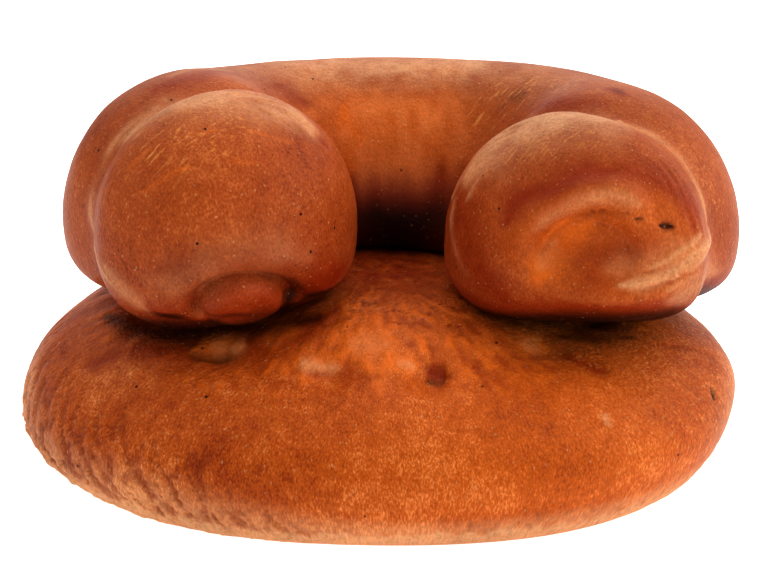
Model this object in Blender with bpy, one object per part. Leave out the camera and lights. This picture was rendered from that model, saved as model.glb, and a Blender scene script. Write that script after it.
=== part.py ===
"""A baked bread bun: a round flat bun with a horseshoe roll lying on its domed top.

The frame stands on the flat underside of the round bun, +Z up. The open side of the
horseshoe, with its two fat ends, faces -Y, and +X is on the right hand of someone who
looks at those ends. All sizes are in metres.
"""

import math

import bmesh
import bpy
import numpy as np

# Round bun: a flat loaf, a little wider than deep, on a flat underside
BUN_RADIUS = 0.0652
BUN_OVAL = 0.057
BUN_CORNERS = 0.008
BUN_SKEW = 0.014
BUN_LEAN = 0.022
BUN_WAIST_HEIGHT = 0.0104
BUN_HEIGHT = 0.0292
BUN_FLAT_RADIUS = 0.0585
BUN_DOME_POWER = 2.78
BUN_SHOULDER_POWER = 2.18
BUN_FOOT_POWER = 1.7
BUN_SHOULDER_DROP = 0.15
BUN_RIM_LIFT = 0.0023
BUN_FOOT_TURN = math.radians(48.0)

# Ring of finger pokes round the bun's puffed middle
RING_RADIUS = 0.0432
RING_WIDTH = 0.0045
RING_DEPTH = 0.0009
POKES = 14
POKE_FIRST_ANGLE = math.radians(232.5)
POKE_RADIUS = 0.0042
POKE_DEPTH = 0.0024
POKE_UNEVENNESS = 0.25
POKE_ANGLE_UNEVENNESS = 0.1
POKE_RADIUS_UNEVENNESS = 0.02
POKE_DEPTH_PACE = 3.7
POKE_ANGLE_PACE = 2.3
POKE_RADIUS_PACE = 4.1
PUFF_HEIGHT = 0.0010
PUFF_RADIUS = 0.030

# Horseshoe roll: a centre line of two mirrored sweeps, seen from above
LEFT_END = (-0.0265, -0.0180)
RIGHT_END = (0.0355, -0.0190)
ROLL_BACK = (0.0047, 0.0305)
LEFT_TOE_IN = math.radians(34.0)
RIGHT_TOE_IN = math.radians(36.0)
ARM_PULL = 0.0300
BACK_PULL = 0.0320
LINE_STEPS = 200
HEADING_STEP = 0.01

# Sizes of its section at five even stations from the left end to the right end: half
# widths on the outer and the inner side of the bend, half height, middle height and
# how far the widest part sags below that middle
ROLL_OUTER_WIDTHS = (0.0243, 0.0262, 0.0227, 0.0268, 0.0243)
ROLL_INNER_WIDTHS = (0.0243, 0.0210, 0.0230, 0.0215, 0.0243)
ROLL_HALF_HEIGHTS = (0.0206, 0.0200, 0.0206, 0.0222, 0.0180)
ROLL_MIDDLES = (0.0468, 0.0468, 0.0465, 0.0439, 0.0456)
ROLL_SAGS = (0.0030, 0.0100, 0.0060, 0.0110, 0.0048)
LEFT_NOSE = 0.0215
RIGHT_NOSE = 0.0195
ROLL_BELLY_POWER = 2.9
TOUCH_GAP = 0.0003
TOUCH_ROUNDING = 0.0010

# The last wrap of dough ends in a valley behind each fat end, then swells to the arm.
# Both fade out on the inner side of the bend, from the first to the second of these
# shares of the half width.
VALLEY_BEHIND_END = 0.0065
VALLEY_WIDTH = 0.0046
VALLEY_DEPTH = 0.0029
SWELL_BEHIND_END = 0.0200
SWELL_WIDTH = 0.0090
SWELL_HEIGHT = 0.0010
PRESSED_SHARES = (-0.95, -0.35)

# Tip of the inner dough, a nub low on the left end (middle and half size, seen from
# -Y), with a crease and a low lip of the outer wrap over it
NUB_MIDDLE = (-0.0216, 0.0350)
NUB_HALF_SIZE = (0.0063, 0.0047)
NUB_HEIGHT = 0.0016
NUB_EDGES = (1.15, 0.45)
NUB_CREASE_DEPTH = 0.0017
NUB_CREASE_RADIUS = 1.15
NUB_CREASE_WIDTH = 0.40
NUB_LIP_HEIGHT = 0.0006
NUB_LIP_RADIUS = 1.75
NUB_LIP_WIDTH = 0.40

# Sunken face of the right end, the fold that crosses it and the lip over that fold
# (seen from -Y); the lip fades out to the right between two places
FACE_MIDDLE = (0.0375, 0.0460)
FACE_HALF_SIZE = (0.0155, 0.0100)
FACE_DEPTH = 0.0017
FACE_EDGES = (1.10, 0.55)
FOLD_MIDDLE = (0.0342, 0.0445)
FOLD_HALF_SIZE = (0.0094, 0.0078)
FOLD_DEPTH = 0.0026
FOLD_EDGES = (1.10, 0.60)
FOLD_LOWEST = 0.0390
LIP_MIDDLE = (0.0363, 0.0420)
LIP_HALF_SIZE = (0.0124, 0.0118)
LIP_HEIGHT = 0.0014
LIP_WIDTH = 0.22
LIP_FADE = (0.0460, 0.0400)

# Low on the right end, the inner corner is full and the outer underside is tucked up
CORNER_MIDDLE = (0.0220, 0.0310)
CORNER_HALF_SIZE = (0.0090, 0.0060)
CORNER_HEIGHT = 0.0030
TUCK_MIDDLE = (0.0470, 0.0290)
TUCK_HALF_SIZE = (0.0130, 0.0060)
TUCK_DEPTH = 0.0012

# Share of a nose's length over which the relief of its end fades in
NOSE_FADE = 0.25

# Mesh cells across the bun and round and along the roll
BUN_CELLS = (28, 28, 14)
ROLL_CELLS_ROUND = 18
ROLL_CELLS_ALONG = 46

# Sizes too small to matter: of a direction's length and of a height over the ground
TINY_LENGTH = 1e-9
TINY_HEIGHT = 1e-7


def smooth_step(value, start=0.0, end=1.0):
    """Rise smoothly from 0 to 1 while the value goes from start to end."""
    part = np.clip((value - start) / (end - start), 0.0, 1.0)
    return part * part * (3.0 - 2.0 * part)


def bell(distance, width):
    """A smooth bump that is 1 at no distance and nearly 0 at twice the width."""
    return np.exp(-((distance / width) ** 2))


def rounded_max(first, second, rounding):
    """The larger of two values, never less, with the corner between them rounded."""
    return 0.5 * (first + second + np.sqrt((first - second) ** 2 + rounding**2))


def ball_directions(cube):
    """Points on the faces of a cube of half side 1, moved onto the unit sphere."""
    x, y, z = (cube**2).T
    pairs = np.stack((y + z, z + x, x + y), axis=1)
    products = np.stack((y * z, z * x, x * y), axis=1)
    return cube * np.sqrt(1.0 - pairs / 2.0 + products / 3.0)


def grid_block(cells):
    """A closed box of half side 1, its faces cut into a grid of cells."""
    mesh = bmesh.new()
    bmesh.ops.create_cube(mesh, size=2.0)
    for axis, count in enumerate(cells):
        edges = [edge for edge in mesh.edges if edge_runs_along(edge, axis)]
        bmesh.ops.subdivide_edges(mesh, edges=edges, cuts=count - 1, use_grid_fill=True)
    return mesh


def edge_runs_along(edge, axis):
    """Whether an edge of the box lies along the axis."""
    start, end = edge.verts
    return abs(start.co[axis] - end.co[axis]) > 0.5 * edge.calc_length()


def corner_array(mesh):
    """The corners of a mesh as an array of points."""
    return np.array([vertex.co[:] for vertex in mesh.verts])


def move_corners(mesh, points):
    """Put the corners of a mesh at an array of points."""
    for vertex, point in zip(mesh.verts, points):
        vertex.co = point


# Round bun ---------------------------------------------------------------------


def bun_outline(angle):
    """Radius of the bun's waist, seen from above."""
    oval = BUN_OVAL * np.cos(2.0 * angle) - BUN_SKEW * np.sin(2.0 * angle)
    corners = BUN_CORNERS * np.cos(4.0 * angle)
    return BUN_RADIUS * (1.0 + oval - corners - BUN_LEAN * np.sin(3.0 * angle))


def bun_dome(share, angle):
    """Height of the bun's upper side at a share of its outline's radius."""
    rise = (BUN_HEIGHT - BUN_WAIST_HEIGHT) * (1.0 - BUN_SHOULDER_DROP * np.cos(angle) * share**2)
    curve = np.clip(1.0 - share**BUN_DOME_POWER, 0.0, 1.0) ** (1.0 / BUN_SHOULDER_POWER)
    return BUN_WAIST_HEIGHT + rise * curve + BUN_RIM_LIFT * np.cos(angle) * share**4


def bun_puff(x, y):
    """The risen middle of the bun inside the ring of pokes."""
    return PUFF_HEIGHT * bell(np.hypot(x, y), PUFF_RADIUS)


def bun_top(x, y):
    """Height of the bun's skin at a point seen from above, without its hollows."""
    angle = np.arctan2(y, x)
    share = np.clip(np.hypot(x, y) / bun_outline(angle), 0.0, 1.0)
    return bun_dome(share, angle) + bun_puff(x, y)


def uneven(number, pace):
    """A hand's unevenness: a value from -1 to 1 that differs from poke to poke."""
    return math.sin(pace * number)


def bun_hollows(x, y):
    """Depth of the ring of finger pokes and the soft groove that joins them."""
    depth = RING_DEPTH * bell(np.hypot(x, y) - RING_RADIUS, RING_WIDTH)
    for number in range(POKES):
        turn = number + POKE_ANGLE_UNEVENNESS * uneven(number, POKE_ANGLE_PACE)
        angle = POKE_FIRST_ANGLE + 2.0 * math.pi * turn / POKES
        radius = RING_RADIUS * (1.0 + POKE_RADIUS_UNEVENNESS * uneven(number, POKE_RADIUS_PACE))
        away = np.hypot(x - radius * math.cos(angle), y - radius * math.sin(angle))
        poke_depth = POKE_DEPTH * (1.0 + POKE_UNEVENNESS * uneven(number, POKE_DEPTH_PACE))
        depth += poke_depth * bell(away, POKE_RADIUS)
    return depth


def bun_points(cube):
    """The skin of the round bun, from the corners of a box grid."""
    direction = ball_directions(cube)
    angle = np.arctan2(direction[:, 1], direction[:, 0])
    outline = bun_outline(angle)
    slant = np.arctan2(direction[:, 2], np.hypot(direction[:, 0], direction[:, 1]))
    upper_share = np.cos(slant)
    top = bun_dome(upper_share, angle)
    # below the waist the grid rounds the foot, then crosses the flat underside
    turn = np.clip(-slant / BUN_FOOT_TURN, 0.0, 1.0) * math.pi / 2.0
    flat = BUN_FLAT_RADIUS / BUN_RADIUS
    foot_share = flat + (1.0 - flat) * np.cos(turn) ** (2.0 / BUN_FOOT_POWER)
    inward = np.clip((math.pi / 2.0 + slant) / (math.pi / 2.0 - BUN_FOOT_TURN), 0.0, 1.0)
    waist = BUN_WAIST_HEIGHT + BUN_RIM_LIFT * np.cos(angle)
    foot = waist * (1.0 - np.sin(turn) ** (2.0 / BUN_FOOT_POWER))
    upper = slant > 0.0
    share = np.where(upper, upper_share, foot_share * inward)
    x = share * outline * np.cos(angle)
    y = share * outline * np.sin(angle)
    skin = top + bun_puff(x, y) - bun_hollows(x, y)
    return np.stack((x, y, np.where(upper, skin, foot)), axis=1)


# Horseshoe roll ------------------------------------------------------------------


def sweep(start, start_pull, end_pull, end):
    """Points along a curve that leaves its start and reaches its end along two pulls."""
    u = np.linspace(0.0, 1.0, LINE_STEPS)[:, None]
    points = [np.array(start), np.add(start, start_pull), np.add(end, end_pull), np.array(end)]
    weights = ((1 - u) ** 3, 3 * u * (1 - u) ** 2, 3 * u**2 * (1 - u), u**3)
    return sum(weight * point for weight, point in zip(weights, points))


def arm_curves():
    """The centre line's two arms, each from its end (station -1 or 1) to the back (0)."""
    left_pull = (-ARM_PULL * math.sin(LEFT_TOE_IN), ARM_PULL * math.cos(LEFT_TOE_IN))
    right_pull = (ARM_PULL * math.sin(RIGHT_TOE_IN), ARM_PULL * math.cos(RIGHT_TOE_IN))
    left = sweep(LEFT_END, left_pull, (-BACK_PULL, 0.0), ROLL_BACK)
    right = sweep(RIGHT_END, right_pull, (BACK_PULL, 0.0), ROLL_BACK)
    return left, right


def arm_reach(arm):
    """Distance along an arm's centre line from its end to each of its points."""
    steps = np.linalg.norm(np.diff(arm, axis=0), axis=1)
    return np.concatenate(([0.0], np.cumsum(steps)))


def roll_line(station):
    """Points of the centre line at stations from -1 (left end) to 1 (right end)."""
    sides = []
    for arm in arm_curves():
        reach = arm_reach(arm)
        along = (1.0 - np.abs(station)) * reach[-1]
        sides.append(np.stack([np.interp(along, reach, arm[:, axis]) for axis in range(2)], axis=1))
    return np.where(station[:, None] < 0.0, *sides)


def roll_heading(station):
    """Unit direction of the centre line at each station, seen from above."""
    ahead = roll_line(np.clip(station + HEADING_STEP, -1.0, 1.0))
    behind = roll_line(np.clip(station - HEADING_STEP, -1.0, 1.0))
    return (ahead - behind) / np.linalg.norm(ahead - behind, axis=1, keepdims=True)


def between_stations(station, values):
    """A smooth curve through five evenly spaced values along the roll."""
    place = (np.clip(station, -1.0, 1.0) + 1.0) * 2.0
    index = np.minimum(place.astype(int), 3)
    part = place - index
    padded = np.concatenate(([values[0]], values, [values[-1]]))
    before, start, end, after = (padded[index + offset] for offset in range(4))
    slope_start = 0.5 * (end - before)
    slope_end = 0.5 * (after - start)
    rise = end - start
    return (
        start
        + slope_start * part
        + (3.0 * rise - 2.0 * slope_start - slope_end) * part**2
        + (slope_start + slope_end - 2.0 * rise) * part**3
    )


def roll_grid(cube):
    """Split the corners of a long box grid into a station, a nose share and a direction.

    The box's last cells at each end become the noses, as many as half of the cells
    across, and the rest follows the centre line.
    """
    nose_cells = ROLL_CELLS_ROUND / 2
    cell = (cube[:, 0] + 1.0) / 2.0 * ROLL_CELLS_ALONG
    past_left = np.clip(1.0 - cell / nose_cells, 0.0, 1.0)
    past_right = np.clip(1.0 - (ROLL_CELLS_ALONG - cell) / nose_cells, 0.0, 1.0)
    nose = past_right - past_left
    straight = ROLL_CELLS_ALONG - 2.0 * nose_cells
    station = np.clip((cell - nose_cells) / straight, 0.0, 1.0) * 2.0 - 1.0
    direction = ball_directions(np.stack((nose, cube[:, 1], cube[:, 2]), axis=1))
    return station, direction


def roll_half_width(direction, station):
    """Half width of the section on the side of the bend that a direction points to."""
    outer = between_stations(station, ROLL_OUTER_WIDTHS)
    inner = between_stations(station, ROLL_INNER_WIDTHS)
    return np.where(direction[:, 1] > 0.0, outer, inner)


def roll_section(direction, station):
    """Sideways and upward reach of the roll's round section, fuller below than above."""
    size = np.hypot(direction[:, 1], direction[:, 2])
    across = direction[:, 1] / np.maximum(size, TINY_LENGTH)
    upward = direction[:, 2] / np.maximum(size, TINY_LENGTH)
    power = np.where(upward > 0.0, 1.0, 2.0 / ROLL_BELLY_POWER)
    half_width = roll_half_width(direction, station)
    half_height = between_stations(station, ROLL_HALF_HEIGHTS)
    sag = between_stations(station, ROLL_SAGS)
    above = half_height + sag
    below = half_height - sag
    side = np.sign(across) * np.abs(across) ** power * half_width
    rise = np.where(upward > 0.0, upward * above, -(np.abs(upward) ** power) * below)
    return side * size, rise * size


def oval_radius(across, upward, middle, half_size):
    """How far out a point lies in an oval seen from -Y: 0 in its middle, 1 on its edge."""
    return np.hypot((across - middle[0]) / half_size[0], (upward - middle[1]) / half_size[1])


def wrap_relief(station, direction):
    """Height of the valley and the swell of the last wrap behind both fat ends."""
    half_length = arm_reach(arm_curves()[0])[-1]
    behind_end = (1.0 - np.abs(station)) * half_length - LEFT_NOSE * np.abs(direction[:, 0])
    valley = VALLEY_DEPTH * bell(behind_end - VALLEY_BEHIND_END, VALLEY_WIDTH)
    swell = SWELL_HEIGHT * bell(behind_end - SWELL_BEHIND_END, SWELL_WIDTH)
    return (swell - valley) * smooth_step(direction[:, 1], *PRESSED_SHARES)


def nub_relief(across, upward):
    """Height of the left end's nub, with the crease and the lip over its upper edge."""
    radius = oval_radius(across, upward, NUB_MIDDLE, NUB_HALF_SIZE)
    over = smooth_step(upward, NUB_MIDDLE[1] - NUB_HALF_SIZE[1] / 2.0, NUB_MIDDLE[1])
    lip = NUB_LIP_HEIGHT * bell(radius - NUB_LIP_RADIUS, NUB_LIP_WIDTH)
    crease = NUB_CREASE_DEPTH * bell(radius - NUB_CREASE_RADIUS, NUB_CREASE_WIDTH)
    return NUB_HEIGHT * smooth_step(radius, *NUB_EDGES) + (lip - crease) * over


def face_relief(across, upward):
    """Height of the right end's sunken face, deepest under the lip of its fold."""
    face = oval_radius(across, upward, FACE_MIDDLE, FACE_HALF_SIZE)
    fold = oval_radius(across, upward, FOLD_MIDDLE, FOLD_HALF_SIZE)
    under_fold = smooth_step(upward, FOLD_LOWEST, FOLD_LOWEST + FOLD_HALF_SIZE[1])
    sunken = FACE_DEPTH * smooth_step(face, *FACE_EDGES)
    hollow = FOLD_DEPTH * smooth_step(fold, *FOLD_EDGES)
    ridge = oval_radius(across, upward, LIP_MIDDLE, LIP_HALF_SIZE)
    lip = LIP_HEIGHT * bell(ridge - 1.0, LIP_WIDTH) * smooth_step(across, *LIP_FADE)
    return (lip - hollow) * under_fold - sunken


def belly_relief(across, upward):
    """Height of the right end's full inner corner and of its tucked outer underside."""
    corner = oval_radius(across, upward, CORNER_MIDDLE, CORNER_HALF_SIZE)
    tuck = oval_radius(across, upward, TUCK_MIDDLE, TUCK_HALF_SIZE)
    return CORNER_HEIGHT * bell(corner, 1.0) - TUCK_DEPTH * bell(tuck, 1.0)


def roll_relief(skin, station, direction):
    """Height of all the roll's relief over its plain skin."""
    left_end = smooth_step(-direction[:, 0], 0.0, NOSE_FADE)
    right_end = smooth_step(direction[:, 0], 0.0, NOSE_FADE)
    across, upward = skin[:, 0], skin[:, 2]
    return (
        wrap_relief(station, direction)
        + nub_relief(across, upward) * left_end
        + (face_relief(across, upward) + belly_relief(across, upward)) * right_end
    )


def in_bend(along, ahead, sideways, upward):
    """Turn lengths ahead, sideways and up into points, along the bend's heading."""
    x = along[:, 0] * ahead - along[:, 1] * sideways
    y = along[:, 1] * ahead + along[:, 0] * sideways
    return np.stack((x, y, upward), axis=1)


def roll_points(cube):
    """The skin of the horseshoe roll, from the corners of a long box grid."""
    station, direction = roll_grid(cube)
    along = roll_heading(station)
    nose = np.where(station < 0.0, LEFT_NOSE, RIGHT_NOSE)
    side, rise = roll_section(direction, station)
    middle = between_stations(station, ROLL_MIDDLES) - between_stations(station, ROLL_SAGS)
    skin = in_bend(along, nose * direction[:, 0], side, middle + rise)
    skin[:, :2] += roll_line(station)
    # straight out of the skin is the gradient of its rounded section and nose
    slope_side = side / roll_half_width(direction, station) ** 2
    slope_rise = rise / between_stations(station, ROLL_HALF_HEIGHTS) ** 2
    outward = in_bend(along, direction[:, 0] / nose, slope_side, slope_rise)
    outward /= np.linalg.norm(outward, axis=1, keepdims=True)
    skin += outward * roll_relief(skin, station, direction)[:, None]
    bed = bun_top(skin[:, 0], skin[:, 1]) + TOUCH_GAP
    skin[:, 2] = rounded_max(skin[:, 2], bed, TOUCH_ROUNDING)
    return skin


# Objects ---------------------------------------------------------------------------


def join_flat_underside(mesh):
    """Make one face of the cells that lie flat on the ground, where there are any."""
    flat = [face for face in mesh.faces if max(corner.co.z for corner in face.verts) < TINY_HEIGHT]
    if flat:
        bmesh.ops.dissolve_faces(mesh, faces=flat, use_verts=True)


def crust_material(name, colour, roughness):
    """An egg-washed crust."""
    material = bpy.data.materials.new(name)
    material.use_nodes = True
    shader = material.node_tree.nodes["Principled BSDF"]
    shader.inputs["Base Color"].default_value = (*colour, 1.0)
    shader.inputs["Roughness"].default_value = roughness
    shader.inputs["Metallic"].default_value = 0.0
    return material


def add_loaf(name, mesh, points, material, collection):
    """Make an object from a grid whose corners are moved to the loaf's skin."""
    move_corners(mesh, points)
    bmesh.ops.recalc_face_normals(mesh, faces=mesh.faces)
    join_flat_underside(mesh)
    bmesh.ops.triangulate(mesh, faces=mesh.faces)
    data = bpy.data.meshes.new(name)
    mesh.to_mesh(data)
    mesh.free()
    data.shade_smooth()
    data.materials.append(material)
    loaf = bpy.data.objects.new(name, data)
    collection.objects.link(loaf)
    return loaf


def add_round_bun(collection):
    """The round flat bun that everything lies on."""
    mesh = grid_block(BUN_CELLS)
    crust = crust_material("bun_crust", (0.42, 0.13, 0.025), 0.38)
    return add_loaf("round_bun", mesh, bun_points(corner_array(mesh)), crust, collection)


def add_horseshoe_roll(collection):
    """The rolled dough bent into a horseshoe, lying on the bun."""
    mesh = grid_block((ROLL_CELLS_ALONG, ROLL_CELLS_ROUND, ROLL_CELLS_ROUND))
    crust = crust_material("roll_crust", (0.38, 0.11, 0.022), 0.36)
    return add_loaf("horseshoe_roll", mesh, roll_points(corner_array(mesh)), crust, collection)


def main():
    """Clear the scene and build the bread."""
    for old in list(bpy.data.objects):
        bpy.data.objects.remove(old, do_unlink=True)
    collection = bpy.data.collections.new("bread_bun")
    bpy.context.scene.collection.children.link(collection)
    add_round_bun(collection)
    add_horseshoe_roll(collection)


main()
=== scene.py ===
"""The looks of a baked bread bun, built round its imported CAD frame.

A round flat bun carries a fat horseshoe roll whose two ends face -Y. Shapes are worked out
in millimetres along the frame's axes, and become metres when a piece is made.
"""

import itertools
import logging
import math
from dataclasses import dataclass
from enum import Enum

import bpy
import numpy as np
from mathutils import Matrix, Vector


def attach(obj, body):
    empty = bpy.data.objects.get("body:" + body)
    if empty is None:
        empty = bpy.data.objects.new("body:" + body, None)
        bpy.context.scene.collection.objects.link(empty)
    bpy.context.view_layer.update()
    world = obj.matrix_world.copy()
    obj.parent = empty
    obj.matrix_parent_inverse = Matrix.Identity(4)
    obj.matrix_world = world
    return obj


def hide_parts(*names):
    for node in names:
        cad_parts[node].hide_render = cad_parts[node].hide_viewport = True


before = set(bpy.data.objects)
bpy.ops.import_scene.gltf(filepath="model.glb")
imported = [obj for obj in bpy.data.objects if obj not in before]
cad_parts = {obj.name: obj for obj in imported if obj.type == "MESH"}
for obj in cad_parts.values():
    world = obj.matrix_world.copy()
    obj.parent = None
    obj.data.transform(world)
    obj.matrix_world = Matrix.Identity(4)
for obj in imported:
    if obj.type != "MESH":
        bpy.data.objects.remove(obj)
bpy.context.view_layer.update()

LOG = logging.getLogger("bread_bun")
METRES_PER_MM = 0.001
BODY = "root"
ALMOST_NONE = 1e-9
WHITE = (1.0, 1.0, 1.0)

Array = np.ndarray
Point = tuple[float, float, float]
Colour = tuple[float, float, float]
Pair = tuple[float, float]
Groups = tuple[bpy.types.NodeTree, bpy.types.NodeTree]


# Numbers --------------------------------------------------------------------------


def smooth_step(value: Array, start: float = 0.0, end: float = 1.0) -> Array:
    """Rise smoothly from 0 to 1 while the value goes from start to end."""
    part = np.clip((value - start) / (end - start), 0.0, 1.0)
    return part * part * (3.0 - 2.0 * part)


def bell(distance: Array, width: float) -> Array:
    """A smooth bump that is 1 at no distance and nearly 0 at twice the width."""
    return np.exp(-((distance / width) ** 2))


def rounded_max(first: Array, second: Array, rounding: float) -> Array:
    """The larger of two values, never less, with the corner between them rounded."""
    return 0.5 * (first + second + np.sqrt((first - second) ** 2 + rounding**2))


def ball_directions(cube: Array) -> Array:
    """Points on the faces of a cube of half side 1, moved onto the unit sphere.

    Args:
        cube: Points on the cube.

    Returns:
        The same points on the sphere, evenly spread.
    """
    x, y, z = (cube**2).T
    pairs = np.stack((y + z, z + x, x + y), axis=1)
    products = np.stack((y * z, z * x, x * y), axis=1)
    return cube * np.sqrt(1.0 - pairs / 2.0 + products / 3.0)


def box_grid(cells: tuple[int, int, int]) -> tuple[Array, Array]:
    """Cut the six faces of a box of half side 1 into a grid.

    Args:
        cells: How many cells lie along each axis.

    Returns:
        The corners as points and the cells as rows of four corner numbers.
    """
    corners, quads, count = [], [], 0
    for axis in range(3):
        across, up = (axis + 1) % 3, (axis + 2) % 3
        u, v = np.meshgrid(np.arange(cells[across] + 1), np.arange(cells[up] + 1), indexing="ij")
        for level in (0, cells[axis]):
            lattice = np.empty((*u.shape, 3), int)
            lattice[..., axis], lattice[..., across], lattice[..., up] = level, u, v
            number = count + np.arange(u.size).reshape(u.shape)
            quad = (number[:-1, :-1], number[1:, :-1], number[1:, 1:], number[:-1, 1:])
            rows = np.stack(quad, axis=-1).reshape(-1, 4)
            quads.append(rows if level else rows[:, ::-1])
            corners.append(lattice.reshape(-1, 3))
            count += u.size
    unique, place = np.unique(np.concatenate(corners), axis=0, return_inverse=True)
    return unique / np.array(cells) * 2.0 - 1.0, place.ravel()[np.concatenate(quads)]


def corner_normals(points: Array, quads: Array) -> Array:
    """Unit normals at the corners of a grid of cells, outwards from a closed skin.

    Args:
        points: The corners.
        quads: The cells, as rows of four corner numbers.

    Returns:
        One normal for each corner.
    """
    first, second, third, fourth = (points[quads[:, index]] for index in range(4))
    faces = np.cross(third - first, fourth - second)
    total = np.zeros_like(points)
    for index in range(4):
        for axis in range(3):
            total[:, axis] += np.bincount(quads[:, index], faces[:, axis], len(points))
    return total / np.maximum(np.linalg.norm(total, axis=1, keepdims=True), ALMOST_NONE)


@dataclass(frozen=True)
class Unevenness:
    """Seeded smooth noise in space, for the chance swellings of dough and crust.

    Attributes:
        seed: Seed of its values.
        size: About how far apart lumps are, in millimetres.
        strength: The furthest that it goes, up and down.
    """

    seed: int
    size: float
    strength: float = 1.0

    GRID = 32
    TURN = np.linalg.qr(np.random.default_rng(1).normal(size=(3, 3)))[0]

    def at(self, places: Array) -> Array:
        """Find the noise at some places, in millimetres.

        Args:
            places: Points, in millimetres.

        Returns:
            A value for each point.
        """
        values = np.random.default_rng(self.seed).uniform(-1.0, 1.0, (self.GRID,) * 3)
        scaled = places @ self.TURN / self.size
        cell = np.floor(scaled).astype(int)
        part = smooth_step(scaled - cell)
        total = np.zeros(len(places))
        for corner in itertools.product((0, 1), repeat=3):
            weight = np.prod(np.where(corner, part, 1.0 - part), axis=1)
            x, y, z = ((cell + corner) % self.GRID).T
            total += weight * values[x, y, z]
        return self.strength * total


Layers = tuple[Unevenness, ...]


def all_at(layers: Layers, places: Array) -> Array:
    """Add up layers of noise at some places."""
    return sum(layer.at(places) for layer in layers)


# Crust marks ----------------------------------------------------------------------


class Mask(Enum):
    """What a number that each corner of a piece carries says about its crust and the painted shade and sheen
    on it.
    """

    GOLDEN = "golden"
    # Browner crust, also painted shade beside, under and inside the roll.
    BAKED = "baked"
    # Worn and floury crust, also painted sheen on crests and rims and painted reflection low on them.
    PALE = "pale"
    # Painted shade, near black, in creases and where the breads touch; also dark cracks and tears.
    CREASE = "crease"
    STRETCHED = "stretched"


@dataclass(frozen=True)
class Mark:
    """A line or a spot on a crust: a crease, a flaky edge, a streak, a blot, a band of painted shade, a band
    of painted sheen.

    Attributes:
        path: Points that it follows, in millimetres.
        width: Distance from its middle at which it has mostly faded, in millimetres.
        mask: What it does to the crust's colour.
        strength: How strongly it does so.
        height: How far its middle stands out of the skin, in millimetres.
    """

    path: tuple[Point, ...]
    width: float
    mask: Mask
    strength: float = 1.0
    height: float = 0.0

    SQUEEZE = np.array((1.0, 0.5, 1.0))
    CORNER_CUTS = 3
    CUT = 0.25
    END_SHARE = 0.15
    END_WIDTH = 0.45
    REACH = 2.5

    def line(self) -> Array:
        """The path with its corners cut, squeezed in depth.

        Returns:
            Points along the mark.
        """
        points = np.array(self.path, float) * self.SQUEEZE
        for _ in range(self.CORNER_CUTS):
            ahead = (1.0 - self.CUT) * points[:-1] + self.CUT * points[1:]
            behind = self.CUT * points[:-1] + (1.0 - self.CUT) * points[1:]
            between = np.stack((ahead, behind), axis=1).reshape(-1, 3)
            points = np.concatenate((points[:1], between, points[-1:]))
        return points

    def share(self, places: Array) -> Array:
        """Find how strongly the mark shows at some places.

        Args:
            places: Points, in millimetres.

        Returns:
            1 on the mark's middle, falling to 0 away from it and towards its ends.
        """
        line = self.line()
        squeezed = places * self.SQUEEZE
        reach = self.REACH * self.width
        inside = (squeezed > line.min(0) - reach) & (squeezed < line.max(0) + reach)
        near = np.flatnonzero(inside.all(axis=1))
        local = squeezed[near]
        steps = np.linalg.norm(np.diff(line, axis=0), axis=1)
        starts = np.concatenate(([0.0], np.cumsum(steps)[:-1]))
        nearest = np.full(len(near), np.inf)
        along = np.zeros(len(near))
        for start, end, length, before in zip(line[:-1], line[1:], steps, starts):
            part = np.clip((local - start) @ (end - start) / length**2, 0.0, 1.0)
            away = np.linalg.norm(local - start - part[:, None] * (end - start), axis=1)
            closer = away < nearest
            nearest[closer] = away[closer]
            along[closer] = (before + part * length)[closer]
        from_end = np.minimum(along, steps.sum() - along) / (self.END_SHARE * steps.sum())
        taper = self.END_WIDTH + (1.0 - self.END_WIDTH) * smooth_step(from_end)
        total = np.zeros(len(places))
        total[near] = bell(nearest, self.width * taper)
        return total


class Skin:
    """A piece's skin while its relief and its colours are put on."""

    WOBBLES = tuple(Unevenness(31 + axis, 3.5, 0.45) for axis in range(3))
    PATCHES = Unevenness(34, 3.0, 0.5)
    WIDE_MARK = 3.0

    def __init__(self, points: Array, quads: Array) -> None:
        """Take over a closed skin.

        Args:
            points: Its corners, in millimetres.
            quads: Its cells, as rows of four corner numbers.
        """
        self.points = points
        self.quads = quads
        self.masks = {mask: np.zeros(len(points)) for mask in Mask}

    def raise_by(self, height: Array) -> None:
        """Move the corners outwards by a height for each."""
        self.points = self.points + corner_normals(self.points, self.quads) * height[:, None]

    def paint(self, mask: Mask, share: Array) -> None:
        """Give the corners at least a share of a mask."""
        self.masks[mask] = np.maximum(self.masks[mask], share)

    def bare(self, mask: Mask, share: Array) -> None:
        """Take a share of a mask off the corners."""
        self.masks[mask] = self.masks[mask] * (1.0 - np.clip(share, 0.0, 1.0))

    def put(self, marks: tuple[Mark, ...]) -> None:
        """Press marks into the skin and paint them, each a little wobbly.

        A golden or a pale mark covers what the crust is painted there already. A wide pale
        mark is patchy.

        Args:
            marks: The marks, in the order in which they cover each other.
        """
        wobble = np.stack([layer.at(self.points) for layer in self.WOBBLES], axis=1)
        places = self.points + wobble
        patches = 1.0 + self.PATCHES.at(self.points)
        height = np.zeros(len(places))
        for mark in marks:
            share = mark.share(places)
            height += mark.height * share
            if mark.mask is Mask.PALE and mark.width >= self.WIDE_MARK:
                share = np.clip(share * patches, 0.0, 1.0)
            if mark.mask in (Mask.GOLDEN, Mask.PALE):
                self.bare(Mask.BAKED, mark.strength * share)
                self.bare(Mask.CREASE, mark.strength * share)
            self.paint(mark.mask, mark.strength * share)
        self.raise_by(height)


# Shader nodes ---------------------------------------------------------------------


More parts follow.
